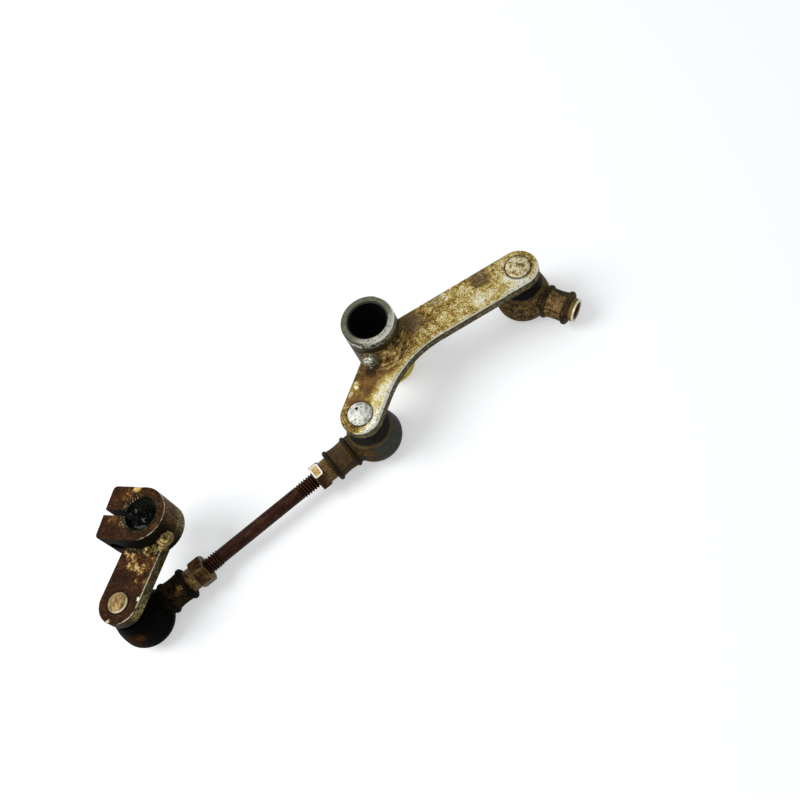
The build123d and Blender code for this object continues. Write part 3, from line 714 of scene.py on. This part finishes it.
def clamp_lever_finish():
    s = Surface("clamp lever steel", srgb(36, 22, 12), 0.55, 0.05)
    top = s.facing(collar_axis, 0.3, 0.7)
    wall = s.inverse(top)
    level = s.dot(s.point, collar_axis)
    plate_level = collar_point.dot(collar_axis)
    top_level = collar_top.dot(collar_axis)
    from_clamp = s.distance(collar_point)
    field = s.total(0.25, s.cloud(6.0, 0.45), s.cloud(1.6, 0.75, (9, 0, 0)), s.cloud(0.6, 1.0, (9, 40, 0)))
    for along, across, high, radius, amount in FLAKE_ZONES:
        zone = s.spot(lever_frame @ Vector((along, across, high)), radius, radius * 0.4, 0.8)
        field = s.total(field, s.times(zone, amount))
    # the wall away from the lamp is olive and paler, partly painted light, and the clamp's near wall is
    # painted near black as painted shade
    olive_lit_wall = s.times(wall, s.facing((0.88, -0.47, 0), 0.3, 0.85))
    in_clamp = s.times(s.fall(from_clamp, 20, 26), s.rise(level, plate_level, plate_level + 0.8))
    field = s.total(field, s.times(olive_lit_wall, s.without(0.26, s.times(in_clamp, 0.55))))
    s.shade(field, 0.03, (0.12, 46, 27, 14), (0.25, 64, 38, 19), (0.38, 86, 55, 28), (0.5, 124, 92, 48),
            (0.58, 176, 144, 82), (0.68, 228, 204, 142))
    s.height = s.times(field, 0.25)
    s.lay(s.times(olive_lit_wall, s.without(0.55, s.times(in_clamp, 0.9))), srgb(118, 110, 68), 0.5, 0.15)
    streaks = s.blotches(2.6, 0.5, 0.16, point=s.stretched(collar_axis, 0.3))
    s.lay(s.times(olive_lit_wall, in_clamp, streaks, 0.85), srgb(132, 108, 64), 0.5, 0.1)
    s.lay(s.times(olive_lit_wall, in_clamp, 0.25), srgb(104, 58, 28))
    pale_flecks = s.times(s.without(olive_lit_wall, in_clamp), s.blotches(1.0, 0.4, shift=(0, 70, 0)))
    s.lay(pale_flecks, srgb(176, 166, 112), 0.45)
    s.lay(s.times(olive_lit_wall, s.blotches(1.0, 0.38, shift=(0, 60, 0))), srgb(32, 24, 12), 0.6)
    shaded_near_wall = s.times(wall, s.facing(collar_across, -0.2, 0.4), s.fall(from_clamp, 30, 36))
    s.lay(s.times(shaded_near_wall, 0.94), srgb(9, 8, 5), 0.7, 0.0)
    top_strip = s.rise(level, top_level - 2.6, top_level - 0.2)
    s.lay(s.times(shaded_near_wall, top_strip, s.blotches(2.0, 0.5, shift=(0, 90, 0)), 0.7), srgb(58, 36, 20))
    # the knock on the clamp's far edge, the rim rubbed bare with a painted highlight, and two bright dots
    chipped = s.spot(lever_frame @ Vector((48.6, 6.3, 37.2)), 1.9, 0.7, 1.2)
    s.lay(chipped, srgb(206, 160, 78), 0.4, 0.3, -0.2)
    s.lay(s.times(chipped, s.blotches(0.8, 0.36, shift=(0, 0, 70))), srgb(242, 222, 170), 0.4, 0.3)
    rim = s.use("rounded rim", Up=collar_axis, Side=(0.62, -0.78, 0), Least=0.3, Most=0.86, Square=0.45)
    s.lay(s.times(rim, 0.35), srgb(150, 132, 92), 0.4, 0.3)
    s.lay(s.times(rim, s.blotches(1.6, 0.6, 0.1, (4, 4, 4))), srgb(232, 222, 192), 0.34, 0.5)
    for along, across, radius, softness, ragged, colour in LEVER_DOTS:
        dot = s.spot(lever_frame @ Vector((along, across, LEVER_TOP)), radius, softness, ragged)
        s.lay(dot, colour, 0.36, 0.4)
    # the bore and its mouth
    reach = s.axis_reach(collar_point, collar_axis)
    inside = s.times(s.fall(reach, SERRATION_ROOT + 0.15, SERRATION_ROOT + 0.35), wall)
    mouth = s.times(s.fall(reach, SERRATION_ROOT + 0.45, SERRATION_ROOT + 2.05), top)
    s.lay(s.times(mouth, 0.75), srgb(24, 17, 10), 0.45, 0.0)
    burrs = s.blotches(0.8, 0.34, 0.04, (0, 0, 31))
    far_side = s.dot(s.offset(collar_point), (-0.5, 0.85, 0))
    s.lay(s.times(mouth, burrs, s.rise(far_side, 2.0, 7.0)), srgb(176, 164, 118), 0.4, 0.3, 0.08)
    s.lay(s.times(mouth, burrs, s.rise(far_side, 2.0, -2.0), 0.5), srgb(120, 104, 66), 0.4, 0.2, 0.05)
    s.lay(inside, srgb(6, 8, 6), 0.25, 0.0)
    dry_wall = s.spot(collar_frame @ Vector((1.6, -7.2, 29.0)), 6.5, 3.0, 0.8)
    tips = s.fall(reach, SERRATION_TIP - 0.01, SERRATION_TIP + 0.07)
    s.lay(s.times(inside, tips, s.blotches(2.5, 0.75, 0.1), dry_wall), srgb(100, 106, 88), 0.3, 0.3)
    # painted shade: the pinch hole's inside is made near black
    hole = s.axis_reach(pinch_hole, collar_across)
    s.lay(s.fall(hole, PINCH_HOLE_RADIUS + 0.05, PINCH_HOLE_RADIUS + 0.15), srgb(14, 11, 7), 0.7, 0.0)
    lay_glints(s, inside)
    # painted shadow round the stud head
    stud = s.axis_reach(BALL_B, collar_axis)
    head_shadow = s.fall(stud, STUD_B_HEAD_RADIUS + 0.2, STUD_B_HEAD_RADIUS + 1.5)
    s.lay(s.times(head_shadow, 0.85), srgb(22, 14, 8), 0.6, 0.0)
    s.grime_and_shade(2.4, 0.3, 0.8, 0.8, srgb(16, 11, 6), 0.7)
    return s.done(0.04)


def grease_finish():
    s = Surface("black grease", srgb(6, 8, 6), 0.18, 0.0)
    # paler patches on the black grease: painted sheen
    s.lay(s.blotches(1.2, 0.3, 0.05), srgb(26, 30, 22), 0.22)
    s.lay(s.blotches(0.9, 0.2, 0.03, (0, 8, 0)), srgb(96, 106, 92), 0.2)
    lay_glints(s)
    s.grain(1.4, 0.5)
    s.grain(0.5, 0.2, 4.0)
    return s.done(0.55)


def rod_finish():
    s = Surface("rod steel", srgb(44, 22, 14), 0.45, 0.05)
    field = s.total(0.4, s.cloud(1.6, 0.7, point=s.stretched(rod_along, 0.25)), s.cloud(5.0, 0.7),
                    s.cloud(0.6, 0.8, (0, 8, 0)))
    s.shade(field, 0.05, (0.3, 46, 24, 15), (0.42, 60, 33, 22), (0.54, 82, 51, 36), (0.68, 140, 106, 80))
    # the thread's roots are darker, partly painted shade, and its crests paler, rubbed and with a painted
    # highlight
    reach = s.axis_reach(BALL_A, rod_along)
    roots = s.fall(reach, ROD_PLAIN_RADIUS - 0.15, ROD_PLAIN_RADIUS - 0.01)
    s.lay(s.times(roots, 0.85), srgb(20, 11, 7), 0.7, 0.0)
    s.lay(s.times(s.rise(reach, THREAD_CREST - 0.2, THREAD_CREST), 0.5), srgb(92, 60, 42), 0.45, 0.2)
    s.grime_and_shade(3.0, 0.3, 0.8, 0.7, srgb(16, 9, 6), 0.7)
    s.grain(0.6, 0.06)
    return s.done(0.07)


# The thin nut's flat with a painted highlight: its middle, its way across and its way out
NUT_A_TILT = radians(4.0)
flat_middle = rod_frame @ Vector((THIN_NUT_MIDDLE, 0, 0))
flat_across = rod_frame.to_3x3() @ Vector((0, cos(NUT_A_TILT), sin(NUT_A_TILT)))
flat_out = rod_frame.to_3x3() @ Vector((0, -sin(NUT_A_TILT), cos(NUT_A_TILT)))


def nut_finish(name, highlighted_flat=False):
    """Dull plating. One flat may carry a painted highlight, with a white rim inside its border."""
    s = Surface(name, srgb(40, 24, 12), 0.42, 0.15)
    field = s.total(0.4, s.cloud(4.5, 1.2), s.cloud(1.2, 0.6, (0, 20, 0)))
    s.shade(field, 0.06, (0.3, 62, 38, 19), (0.42, 86, 60, 29), (0.56, 112, 90, 47), (0.7, 146, 130, 82))
    # rubbed edges, with a painted highlight on them
    rim = s.use("worn edge", Width=0.5, Broken=0.1, Least=0.01, Most=0.07)
    s.lay(s.times(rim, 0.6), srgb(176, 162, 116), 0.34, 0.3)
    if highlighted_flat:
        # how far the point is past a small rectangle in the flat's middle, whose corners are so round
        off = s.offset(flat_middle)
        past = []
        for way, half in ((rod_along, 1.15), (flat_across, 2.2)):
            place = calc(s.tree, "ABSOLUTE", s.dot(off, way))
            past.append(calc(s.tree, "MAXIMUM", calc(s.tree, "SUBTRACT", place, half), 0.0))
        away = calc(s.tree, "SQRT", s.total(s.times(past[0], past[0]), s.times(past[1], past[1])))
        flat = s.facing(flat_out, 0.9, 0.96)
        middle = s.fall(away, 0.4, 0.6)
        # painted highlight on the flat: a white rim and a golden middle
        s.lay(s.times(flat, s.fall(away, 1.0, 1.2)), srgb(250, 248, 236), 0.35, 0.3)
        s.lay(s.times(flat, middle), srgb(176, 138, 74), 0.4, 0.2)
        s.lay(s.times(flat, s.blotches(0.9, 0.42, 0.1, (0, 33, 0)), middle), srgb(228, 206, 152), 0.4, 0.2)
    s.grime_and_shade(1.8, 0.3, 0.8, 0.9, srgb(20, 13, 7), 0.65)
    s.grain(0.8, 0.05)
    return s.done(0.1)


def lay_stained_head(s):
    """Stud b's head: golden specks, brown stains and a painted highlight along the border on its lower side.
    """
    specks = s.total(0.42, s.cloud(1.2, 1.0, (0, 55, 0)))
    s.shade(specks, 0.05, (0.3, 128, 98, 52), (0.42, 166, 142, 88), (0.55, 196, 180, 128))
    s.lay(s.times(s.rise(s.cloud(2.0, 1.0, (0, 75, 0)), -0.01, 0.06), 0.72), srgb(100, 70, 32))
    reach = s.total(s.axis_reach(BALL_B, collar_axis), s.cloud(1.6, 1.2, (0, 33, 0)))
    highlight_border = s.rise(reach, STUD_B_HEAD_RADIUS - 1.0, STUD_B_HEAD_RADIUS - 0.3)
    lower = s.rise(s.dot(s.offset(BALL_B), BELOW), -1.5, 3.0)
    s.lay(s.times(highlight_border, s.total(0.2, s.times(lower, 0.75))), srgb(226, 216, 182), 0.36, 0.4)


def stud_finish(letter, dark, middle, pale, level, fine, pits=(), stained=False):
    """A riveted head: from its stains to its bare metal. Level is how bare it is, fine how speckled."""
    s = Surface("stud steel " + letter, dark, 0.45, 0.2)
    field = s.total(level, s.cloud(2.6, 1.3), s.cloud(0.8, fine, (0, 3, 0)))
    for step, colour in ((0.28, middle), (0.48, pale), (0.68, mixed(pale, WHITE, 0.5))):
        s.lay(s.rise(field, step - 0.06, step + 0.06), colour)
    s.height = s.times(field, 0.2)
    if stained:
        lay_stained_head(s)
    for x, y, radius in pits:
        s.lay(s.spot((x, y, STUD_HEAD_TOP), radius, 0.25, 0.25), srgb(20, 18, 13), 0.6, 0.0, -0.2)
    s.grime_and_shade(1.0, 0.4, 0.8, 0.9, srgb(22, 17, 10), 0.6)
    return s.done(0.2)


def socket_finish():
    s = Surface("socket steel", srgb(44, 31, 17), 0.45, 0.15)
    field = s.total(0.45, s.cloud(3.0, 0.8), s.cloud(0.8, 1.1, (2, 0, 0)))
    s.shade(field, 0.05, (0.28, 80, 60, 30), (0.42, 112, 88, 46), (0.56, 150, 126, 72), (0.7, 200, 180, 124))
    # the open shank at joint c: its bright end and its rusty thread
    out = s.dot(s.offset(BALL_C), free_along)
    s.lay(s.rise(out, FREE_SHANK_END - 0.9, FREE_SHANK_END - 0.5), srgb(226, 214, 188), 0.35, 0.4)
    in_bore = s.fall(s.axis_reach(BALL_C, free_along), THREAD_BORE + 0.33, THREAD_BORE + 0.53)
    s.lay(s.times(in_bore, s.rise(out, 8.0, 9.0), 0.9), srgb(84, 56, 36), 0.6, 0.1)
    s.grime_and_shade(1.6, 0.3, 0.8, 0.7, srgb(28, 19, 11), 0.65)
    s.grain(0.8, 0.08)
    return s.done(0.12)


def boot_finish(letter, ball, along, dome, rubber, first, dust, line, spread, level,
                marks=(), slide=0.0, specular=0.06):
    """Rubber, dusty below the dome; the dome's darker colour is partly painted shade from the part above it.
    First is the thinnest dust's colour, line that of the ring below the dome, spread how far the dust
    reaches round from the sleeve, and level the dome's lower border. Slide is how far the sleeve has been
    pushed along the shank."""
    s = Surface("boot rubber " + letter, dome, 0.55, 0.0)
    away = s.offset(ball)
    out = s.dot(away, along)
    layered = calc_vector(s.tree, "MULTIPLY", s.point, (0.45, 0.45, 1.6)).outputs["Vector"]
    wavy = s.total(s.split(away)["Z"], s.cloud(4.0, 3.0, point=layered))
    below = s.fall(wavy, level - 1.0, level + 0.6)
    s.lay(below, rubber, 0.5)
    s.lay(s.times(below, s.blotches(2.2, 0.4, 0.14), 0.6), mixed(rubber, BLACK, 0.5), 0.6)
    # dust, thinner and thicker
    sleeve = s.rise(out, 9.5, 13.0)
    reached = s.rise(s.total(out, s.cloud(5.0, 8.0, (3, 0, 3))), spread - 2.5, spread + 2.5)
    dusted = s.times(s.most(below, sleeve), reached)
    field = s.total(0.4, s.cloud(3.6, 1.1, point=layered), s.cloud(0.7, 1.6, (0, 17, 12)),
                    s.cloud(2.4, 1.1, (0, 57, 12)))
    for step, share in ((0.24, 0.3), (0.38, 0.62), (0.5, 1.0)):
        s.lay(s.times(dusted, s.rise(field, step - 0.06, step + 0.06)), mixed(first, dust, share), 0.75)
    s.lay(s.times(dusted, s.rise(field, 0.6, 0.7)), mixed(BLACK, dust, 1.5), 0.8, None, 0.03)
    # the ring below the dome, and the sleeve's two rings
    ring = s.band(wavy, level - 2.2, level - 1.2, level - 0.4, level + 0.5)
    s.lay(s.times(s.without(ring, sleeve), s.blotches(4.0, 0.6, 0.14, (21, 0, 0)), 0.6), line, 0.7)
    for place in SLEEVE_RINGS:
        middle = place + slide
        s.lay(s.times(s.band(out, middle - 1.3, middle - 0.9, middle + 0.9, middle + 1.3), 0.75),
              srgb(20, 18, 14), 0.5)
    s.grime_and_shade(4.0, 0.25, 0.85, 0.8, srgb(7, 6, 4), 0.7, metal=None)
    for x, y, z, radius, colour in marks:
        mark = s.spot((x, y, z), radius, radius * 0.5, 1.3)
        s.lay(s.times(mark, s.blotches(1.3, 0.6, 0.12, (x, 0, 0))), colour, 0.75)
    s.grain(0.5, 0.05)
    s.grain(2.5, 0.14, 9.0)
    return s.done(specular)


def seat_finish():
    s = Surface("seat plastic", srgb(232, 229, 214), 0.45, 0.0)
    s.lay(s.blotches(2.0, 0.4, 0.12), srgb(150, 128, 84), 0.35)
    s.grain(0.6, 0.03)
    return s.done(0.4)


finishes = {
    "bellcrank": bellcrank_finish(),
    "tube": tube_finish(),
    "weld": weld_finish(),
    "clamp weld": clamp_weld_finish(),
    "clamp lever": clamp_lever_finish(),
    "grease": grease_finish(),
    "rod": rod_finish(),
    "nut a": nut_finish("nut steel a", highlighted_flat=True),
    "nut b": nut_finish("nut steel b"),
    "stud a": stud_finish(
        "a", srgb(96, 94, 76), srgb(168, 167, 150), srgb(216, 217, 206), level=0.56, fine=1.4, pits=PITS_A),
    "stud b": stud_finish(
        "b", srgb(66, 44, 20), srgb(98, 76, 40), srgb(146, 124, 80), level=0.44, fine=0.5, stained=True),
    "stud c": stud_finish(
        "c", srgb(84, 60, 28), srgb(142, 116, 66), srgb(212, 200, 158), level=0.52, fine=1.0),
    "socket": socket_finish(),
    "boot a": boot_finish(
        "a", BALL_A, rod_along, dome=srgb(32, 30, 24), rubber=srgb(68, 69, 60), first=srgb(34, 26, 14),
        dust=srgb(88, 67, 37), line=srgb(110, 90, 46), spread=5.0, level=9.6),
    "boot b": boot_finish(
        "b", BALL_B, -rod_along, dome=srgb(6, 6, 5), rubber=srgb(11, 11, 9), first=srgb(12, 9, 5),
        dust=srgb(54, 42, 24), line=srgb(16, 13, 8), spread=12.5, level=9.0, marks=MARKS_B, specular=0.01),
    "boot c": boot_finish(
        "c", BALL_C, free_along, dome=srgb(15, 15, 13), rubber=srgb(34, 29, 21), first=srgb(42, 29, 15),
        dust=srgb(134, 108, 66), line=srgb(104, 80, 46), spread=-14.0, level=10.2, slide=FREE_SLEEVE_SLIDE),
    "seat": seat_finish(),
}
wears = {
    "bellcrank_plate": "bellcrank", "pivot_tube": "tube", "tube_weld_top": "weld",
    "tube_weld_bottom": "weld", "clamp_weld": "clamp weld", "clamp_lever_plate": "clamp lever",
    "clamp_collar": "clamp lever", "link_rod": "rod", "jam_nut_a": "nut a", "jam_nut_b": "nut b",
}
for letter in "abc":
    wears["ball_stud_" + letter] = "stud " + letter
    wears["dust_boot_" + letter] = "boot " + letter
    for part, finish in (("socket_housing_", "socket"), ("end_cap_", "socket"),
                         ("seat_upper_", "seat"), ("seat_lower_", "seat")):
        wears[part + letter] = finish
for name, finish in wears.items():
    for place in nodes[name].material_slots:
        place.material = finishes[finish]


# Pieces made here

def grid_piece(name, rows, finish, close_ring=False, turned=False):
    """A mesh from rows of points in millimetres, each row as long as the next. Turned swaps its
    front and back."""
    columns = len(rows[0])
    points = [tuple(Vector(p) * MM) for row in rows for p in row]
    faces = []
    for i in range(len(rows) - 1):
        for j in range(columns if close_ring else columns - 1):
            k = (j + 1) % columns
            faces.append((i * columns + j, i * columns + k, (i + 1) * columns + k, (i + 1) * columns + j))
    mesh = bpy.data.meshes.new(name)
    mesh.from_pydata(points, [], faces)
    mesh.polygons.foreach_set("use_smooth", [True] * len(faces))
    if turned:
        mesh.flip_normals()
    mesh.materials.append(finish)
    piece = bpy.data.objects.new(name, mesh)
    bpy.context.scene.collection.objects.link(piece)
    return piece


def ring(place, along, around, radius_at):
    """A ring of points round a rod's axis. The radius may change with the turn, 0 to 1, round it."""
    row = []
    for j in range(around):
        turn = j / around
        radius = radius_at(turn)
        row.append(place @ Vector((along, radius * cos(2 * pi * turn), radius * sin(2 * pi * turn))))
    return row


def thread_ridge(along, turn):
    """0 in the thread's root and 1 on its crest, at a place along the rod and a turn round it."""
    share = (along / THREAD_PITCH - turn) % 1.0
    return 1 - abs(2 * share - 1)


def thread_radius(along, turn, first, last):
    """Radius of the rolled thread, which fades out into the plain rod before first and last."""
    ridge = min(1.0, max(0.0, thread_ridge(along, turn) * 1.25 - 0.1))
    full = THREAD_ROOT + (THREAD_CREST - THREAD_ROOT) * ridge
    inside = min(along - first, last - along)
    blend = min(1.0, max(0.0, inside / THREAD_FADE))
    return full * blend + min(full, ROD_PLAIN_RADIUS) * (1 - blend)


def make_rod():
    """The link rod with its rolled threads, as one turned skin from end to end."""
    around = 56
    left_end = ROD_START + THREAD_LENGTH + THREAD_RUNOUT
    right_start = ROD_END - THREAD_LENGTH - THREAD_RUNOUT
    step = THREAD_PITCH / 12
    plain_rings = 24
    rows = [ring(rod_frame, ROD_START, around, lambda turn: 0.01)]

    def add_thread(along, first, last):
        while along < last:
            rows.append(ring(rod_frame, along, around, lambda turn: thread_radius(along, turn, first, last)))
            along += step

    add_thread(ROD_START, ROD_START, left_end)
    for i in range(plain_rings + 1):
        place = left_end + (right_start - left_end) * i / plain_rings
        wobble = 0.03 * noise.noise(Vector((place * 0.2, 0, 0)))
        rows.append(ring(rod_frame, place, around, lambda turn: ROD_PLAIN_RADIUS + wobble))
    add_thread(right_start + step, right_start, ROD_END)
    rows.append(ring(rod_frame, ROD_END, around, lambda turn: 0.01))
    piece = grid_piece("link_rod_threaded", rows, finishes["rod"], close_ring=True)
    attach(piece, "rod_assembly")
    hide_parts("link_rod")


make_rod()


def make_free_thread():
    """The thread inside the open shank of the free ball joint."""
    last = FREE_SHANK_END - 0.3
    rows = []
    along = FREE_SHANK_END - FREE_THREAD_DEPTH
    while along < last:
        fading = min(1.0, (last - along) / 0.8)
        rows.append(ring(free_frame, along, 48,
                         lambda turn: THREAD_BORE - 0.02 - 0.62 * thread_ridge(along, turn) * fading))
        along += THREAD_PITCH / 10
    piece = grid_piece("free_shank_thread", rows, finishes["socket"], close_ring=True, turned=True)
    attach(piece, "free_rod_end")


make_free_thread()


def between(table, place):
    """A value read off a short table of (place, value), smoothly between its lines."""
    for (low, first), (high, second) in zip(table, table[1:]):
        if place <= high:
            share = min(1.0, max(0.0, (place - low) / (high - low)))
            share = share * share * (3 - 2 * share)
            return first + (second - first) * share
    return table[-1][1]


def lumpy(point, size, height):
    """How far a rough weld surface stands out at a point."""
    return height * noise.fractal(Vector(point) / size, 0.9, 2.0, 4)


def blob_piece(name, centre, sizes, heading, lump_size, lump_height, finish, dent=None):
    """A lump of weld metal: an uneven rounded body. Dent gives a small crater's direction, radius
    and depth."""
    rings, around = 36, 60
    turn = Matrix.Rotation(heading, 3, "Z")
    rows = []
    for i in range(rings + 1):
        polar = pi * i / rings
        row = []
        for j in range(around):
            azimuth = 2 * pi * j / around
            way = Vector((sin(polar) * cos(azimuth), sin(polar) * sin(azimuth), cos(polar)))
            reach = 1 + lumpy(way * 3 + centre, lump_size, lump_height) / max(sizes)
            point = turn @ Vector((way.x * sizes[0], way.y * sizes[1], way.z * sizes[2])) * reach
            if dent:
                towards, radius, depth = dent
                off = (point - towards * point.dot(towards)).length
                if point.dot(towards) > 0 and off < radius * 2.2:
                    share = max(0.0, 1 - off / radius)
                    lip = max(0.0, 1 - abs(off / radius - 1.35) / 0.6)
                    point += towards * (0.25 * lip - depth * min(1.0, share * 1.6))
            row.append(centre + point)
        rows.append(row)
    return grid_piece(name, rows, finish, close_ring=True, turned=True)


# The tube's weld: its reach from the tube and its height up it, by the angle round it in degrees
WELD_FIRST = -154
WELD_LAST = -28
WELD_OUT = ((WELD_FIRST, 0.6), (-146, 4.0), (-134, 7.2), (-114, 9.6), (-96, 9.2), (-78, 7.8),
            (-60, 5.6), (-46, 3.4), (-36, 1.6), (WELD_LAST, 0.4))
WELD_UP = ((WELD_FIRST, 0.6), (-140, 2.4), (-110, 2.7), (-80, 2.5), (-50, 2.2), (-36, 1.2), (WELD_LAST, 0.4))


def make_tube_weld():
    """The fat bead round the tube, with the ripples of two passes and a blob where it begins."""
    steps, across = 220, 50
    rows = []
    for i in range(steps + 1):
        degrees_round = WELD_FIRST + (WELD_LAST - WELD_FIRST) * i / steps
        turn = radians(degrees_round)
        out = between(WELD_OUT, degrees_round)
        up = between(WELD_UP, degrees_round)
        row = []
        for j in range(across + 1):
            share = j / across
            radius = TUBE_RADIUS + out * (1 - share) ** 1.05
            place = Vector((radius * cos(turn), radius * sin(turn), 0))
            fringe = sin(pi * share) ** 0.6
            crown = 0.55 * fringe * min(1.0, out / 4)
            wander = 0.45 * noise.noise(place / 3.4)
            passes = 0.34 * sin(2 * pi * (radius / 2.3 + wander)) * fringe
            ripple = 0.1 * sin(turn * 40 + radius * 1.3) * fringe
            stand = crown + (passes + ripple + lumpy(place, 2.0, 0.5) * fringe) * min(1.0, out / 3)
            radius += stand * 0.35
            height = PLATE_TOP - 0.05 + up * share ** 2.2 + stand * 0.85
            row.append((radius * cos(turn), radius * sin(turn), height))
        row[0] = (row[0][0], row[0][1], PLATE_TOP - 0.3)
        rows.append(row)
    finish = finishes["weld"]
    bead = grid_piece("tube_weld_bead", rows, finish, turned=True)
    blob = blob_piece("tube_weld_blob", TUBE_BLOB, (4.0, 2.9, 2.2), TUBE_BLOB_HEADING, 1.9, 1.1, finish)
    for piece in (bead, blob):
        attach(piece, "bellcrank")
        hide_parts("tube_weld_top")


make_tube_weld()


def make_clamp_weld():
    """The bead at the foot of the clamp, and the heavy blob with its crater at one corner."""
    # the flat side of the clamp's foot runs askew, and its back is round
    foot_centre = 37.37
    turned_by = radians(9.6)
    across_offset = 0.29
    first_y, run = 8.3, 17.6
    steps, across = 140, 26
    rows = []
    for i in range(steps + 1):
        share_along = i / steps
        lever_y = first_y - run * share_along
        if lever_y > across_offset - COLLAR_BACK * sin(turned_by):
            foot_x = foot_centre - COLLAR_BACK / cos(turned_by) - (lever_y - across_offset) * sin(turned_by)
        else:
            foot_x = foot_centre - sqrt(max(0.0, COLLAR_BACK ** 2 - (lever_y - across_offset) ** 2))
        ends = min(1.0, share_along * 8, (1 - share_along) * 14)
        heavy = min(1.0, max(0.0, (share_along - 0.5) / 0.25))
        row = []
        for j in range(across + 1):
            share = j / across
            out = (1.8 + 1.5 * heavy) * (1 - share) * ends
            rise = (1.7 + 2.4 * heavy) * share ** (1 + 0.4 * heavy) * ends
            here = Vector((foot_x - out, lever_y, LEVER_TOP + rise))
            lumps = lumpy(here, 1.2, 0.55 + 0.3 * heavy)
            stand = (0.3 + lumps) * sin(pi * share) * ends
            high = LEVER_TOP - 0.05 + rise + stand * 0.6
            row.append(lever_frame @ Vector((foot_x - out - stand * 0.6, lever_y, high)))
        rows.append(row)
    finish = finishes["clamp weld"]
    bead = grid_piece("clamp_weld_bead", rows, finish, turned=True)
    blob = blob_piece("clamp_weld_blob", clamp_blob, (3.85, 3.85, 3.75), 0.0, 1.8, 0.7, finish,
                      dent=(crater_side, 0.7, 0.9))
    tail = blob_piece("clamp_weld_tail", lever_frame @ CLAMP_TAIL_AT, (3.4, 2.0, 3.2), 0.5, 1.3, 0.4, finish)
    for piece in (bead, blob, tail):
        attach(piece, "clamp_lever")
        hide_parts("clamp_weld")


make_clamp_weld()


def make_bore_grease():
    """Old black grease that clings inside the clamp's bore, thickest low down and beside the slot."""
    bottom, height, wall = 0.4, 17.6, 8.1
    # angles from the slot, in degrees, as the photograph looks into the bore
    far_wall_at, left_side_at = 304, 345
    rings, around = 60, 150
    rows = []
    for i in range(rings + 1):
        high = bottom + height * i / rings
        low = max(0.0, 1 - high / 9.0)
        row = []
        for j in range(around):
            angle = 2 * pi * j / around
            beside_slot = max(0.0, 1 - min(angle, 2 * pi - angle) / radians(60))
            far_wall = max(0.0, cos(angle - radians(far_wall_at)))
            left_side = max(0.0, cos(angle - radians(left_side_at)))
            thick = (5.4 * low * far_wall ** 0.7 + 1.1 * beside_slot * max(0.0, 1 - high / 17)
                     + 0.9 * left_side - 0.45)
            lump = noise.fractal(Vector((cos(angle) * 3.2, sin(angle) * 3.2, high * 0.45)), 0.8, 2.0, 4)
            thick = max(-0.4, thick + (0.7 + 0.8 * low) * lump - 0.3)
            radius = wall - thick if i else wall + 0.1
            local = Vector((radius * cos(angle), radius * sin(angle), high))
            row.append(collar_frame @ (local + Vector((0, 0, COLLAR_BOTTOM))))
        rows.append(row)
    piece = grid_piece("bore_grease", rows, finishes["grease"], close_ring=True, turned=True)
    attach(piece, "clamp_lever")


make_bore_grease()


# Floor, light and camera

def make_floor():
    """The white board, which glows a little where it is seen, as the photograph is blown out."""
    mesh = bpy.data.meshes.new("floor")
    size = 3.0
    corners = [(-size, -size, 0), (size, -size, 0), (size, size, 0), (-size, size, 0)]
    mesh.from_pydata(corners, [], [(0, 1, 2, 3)])
    floor = bpy.data.objects.new("floor", mesh)
    bpy.context.scene.collection.objects.link(floor)
    material = bpy.data.materials.new("white board")
    material.use_nodes = True
    tree = material.node_tree
    tree.nodes.clear()
    matt = add(tree, "BsdfDiffuse", Color=(0.62, 0.63, 0.64, 1))
    path = add(tree, "LightPath")
    seen = calc(tree, "MAXIMUM", path.outputs["Is Camera Ray"], path.outputs["Is Glossy Ray"])
    seen = calc(tree, "MAXIMUM", seen, path.outputs["Is Transmission Ray"])
    glow = add(tree, "Emission", Color=(1, 1, 1, 1), Strength=calc(tree, "MULTIPLY", seen, 0.46))
    both = add(tree, "AddShader")
    wire(tree, both.inputs[0], matt.outputs[0])
    wire(tree, both.inputs[1], glow.outputs[0])
    end = add(tree, "OutputMaterial")
    wire(tree, end.inputs["Surface"], both.outputs[0])
    mesh.materials.append(material)


def make_light():
    """A pale sky all round, and a window up on the left and behind."""
    world = bpy.data.worlds.new("studio")
    bpy.context.scene.world = world
    world.use_nodes = True
    sky = world.node_tree.nodes["Background"]
    sky.inputs["Color"].default_value = (0.96, 0.98, 1.0, 1)
    sky.inputs["Strength"].default_value = 0.45
    lamp = bpy.data.lights.new("window", "AREA")
    lamp.shape = "DISK"
    lamp.size = 0.7
    lamp.energy = 8.4
    holder = bpy.data.objects.new("window", lamp)
    holder.location = (-0.55, 0.35, 0.85)
    holder.rotation_euler = (Vector((0, 0, 0.02)) - holder.location).to_track_quat("-Z", "Y").to_euler()
    bpy.context.scene.collection.objects.link(holder)


def make_camera():
    """The photograph's camera."""
    camera = bpy.data.cameras.new("camera")
    camera.sensor_fit = "HORIZONTAL"
    camera.sensor_width = 36.0
    camera.lens = camera.sensor_width * CAMERA_FOCAL
    camera.clip_start = 0.01
    holder = bpy.data.objects.new("camera", camera)
    turn = Matrix.Rotation(CAMERA_TURN.length, 3, CAMERA_TURN)
    right, down, forward = turn
    rotation = Matrix((right, -down, -forward)).transposed()
    holder.matrix_world = Matrix.Translation(CAMERA_POINT * MM) @ rotation.to_4x4()
    bpy.context.scene.collection.objects.link(holder)
    bpy.context.scene.camera = holder


make_floor()
make_light()
make_camera()
bpy.context.scene.view_settings.view_transform = "Standard"
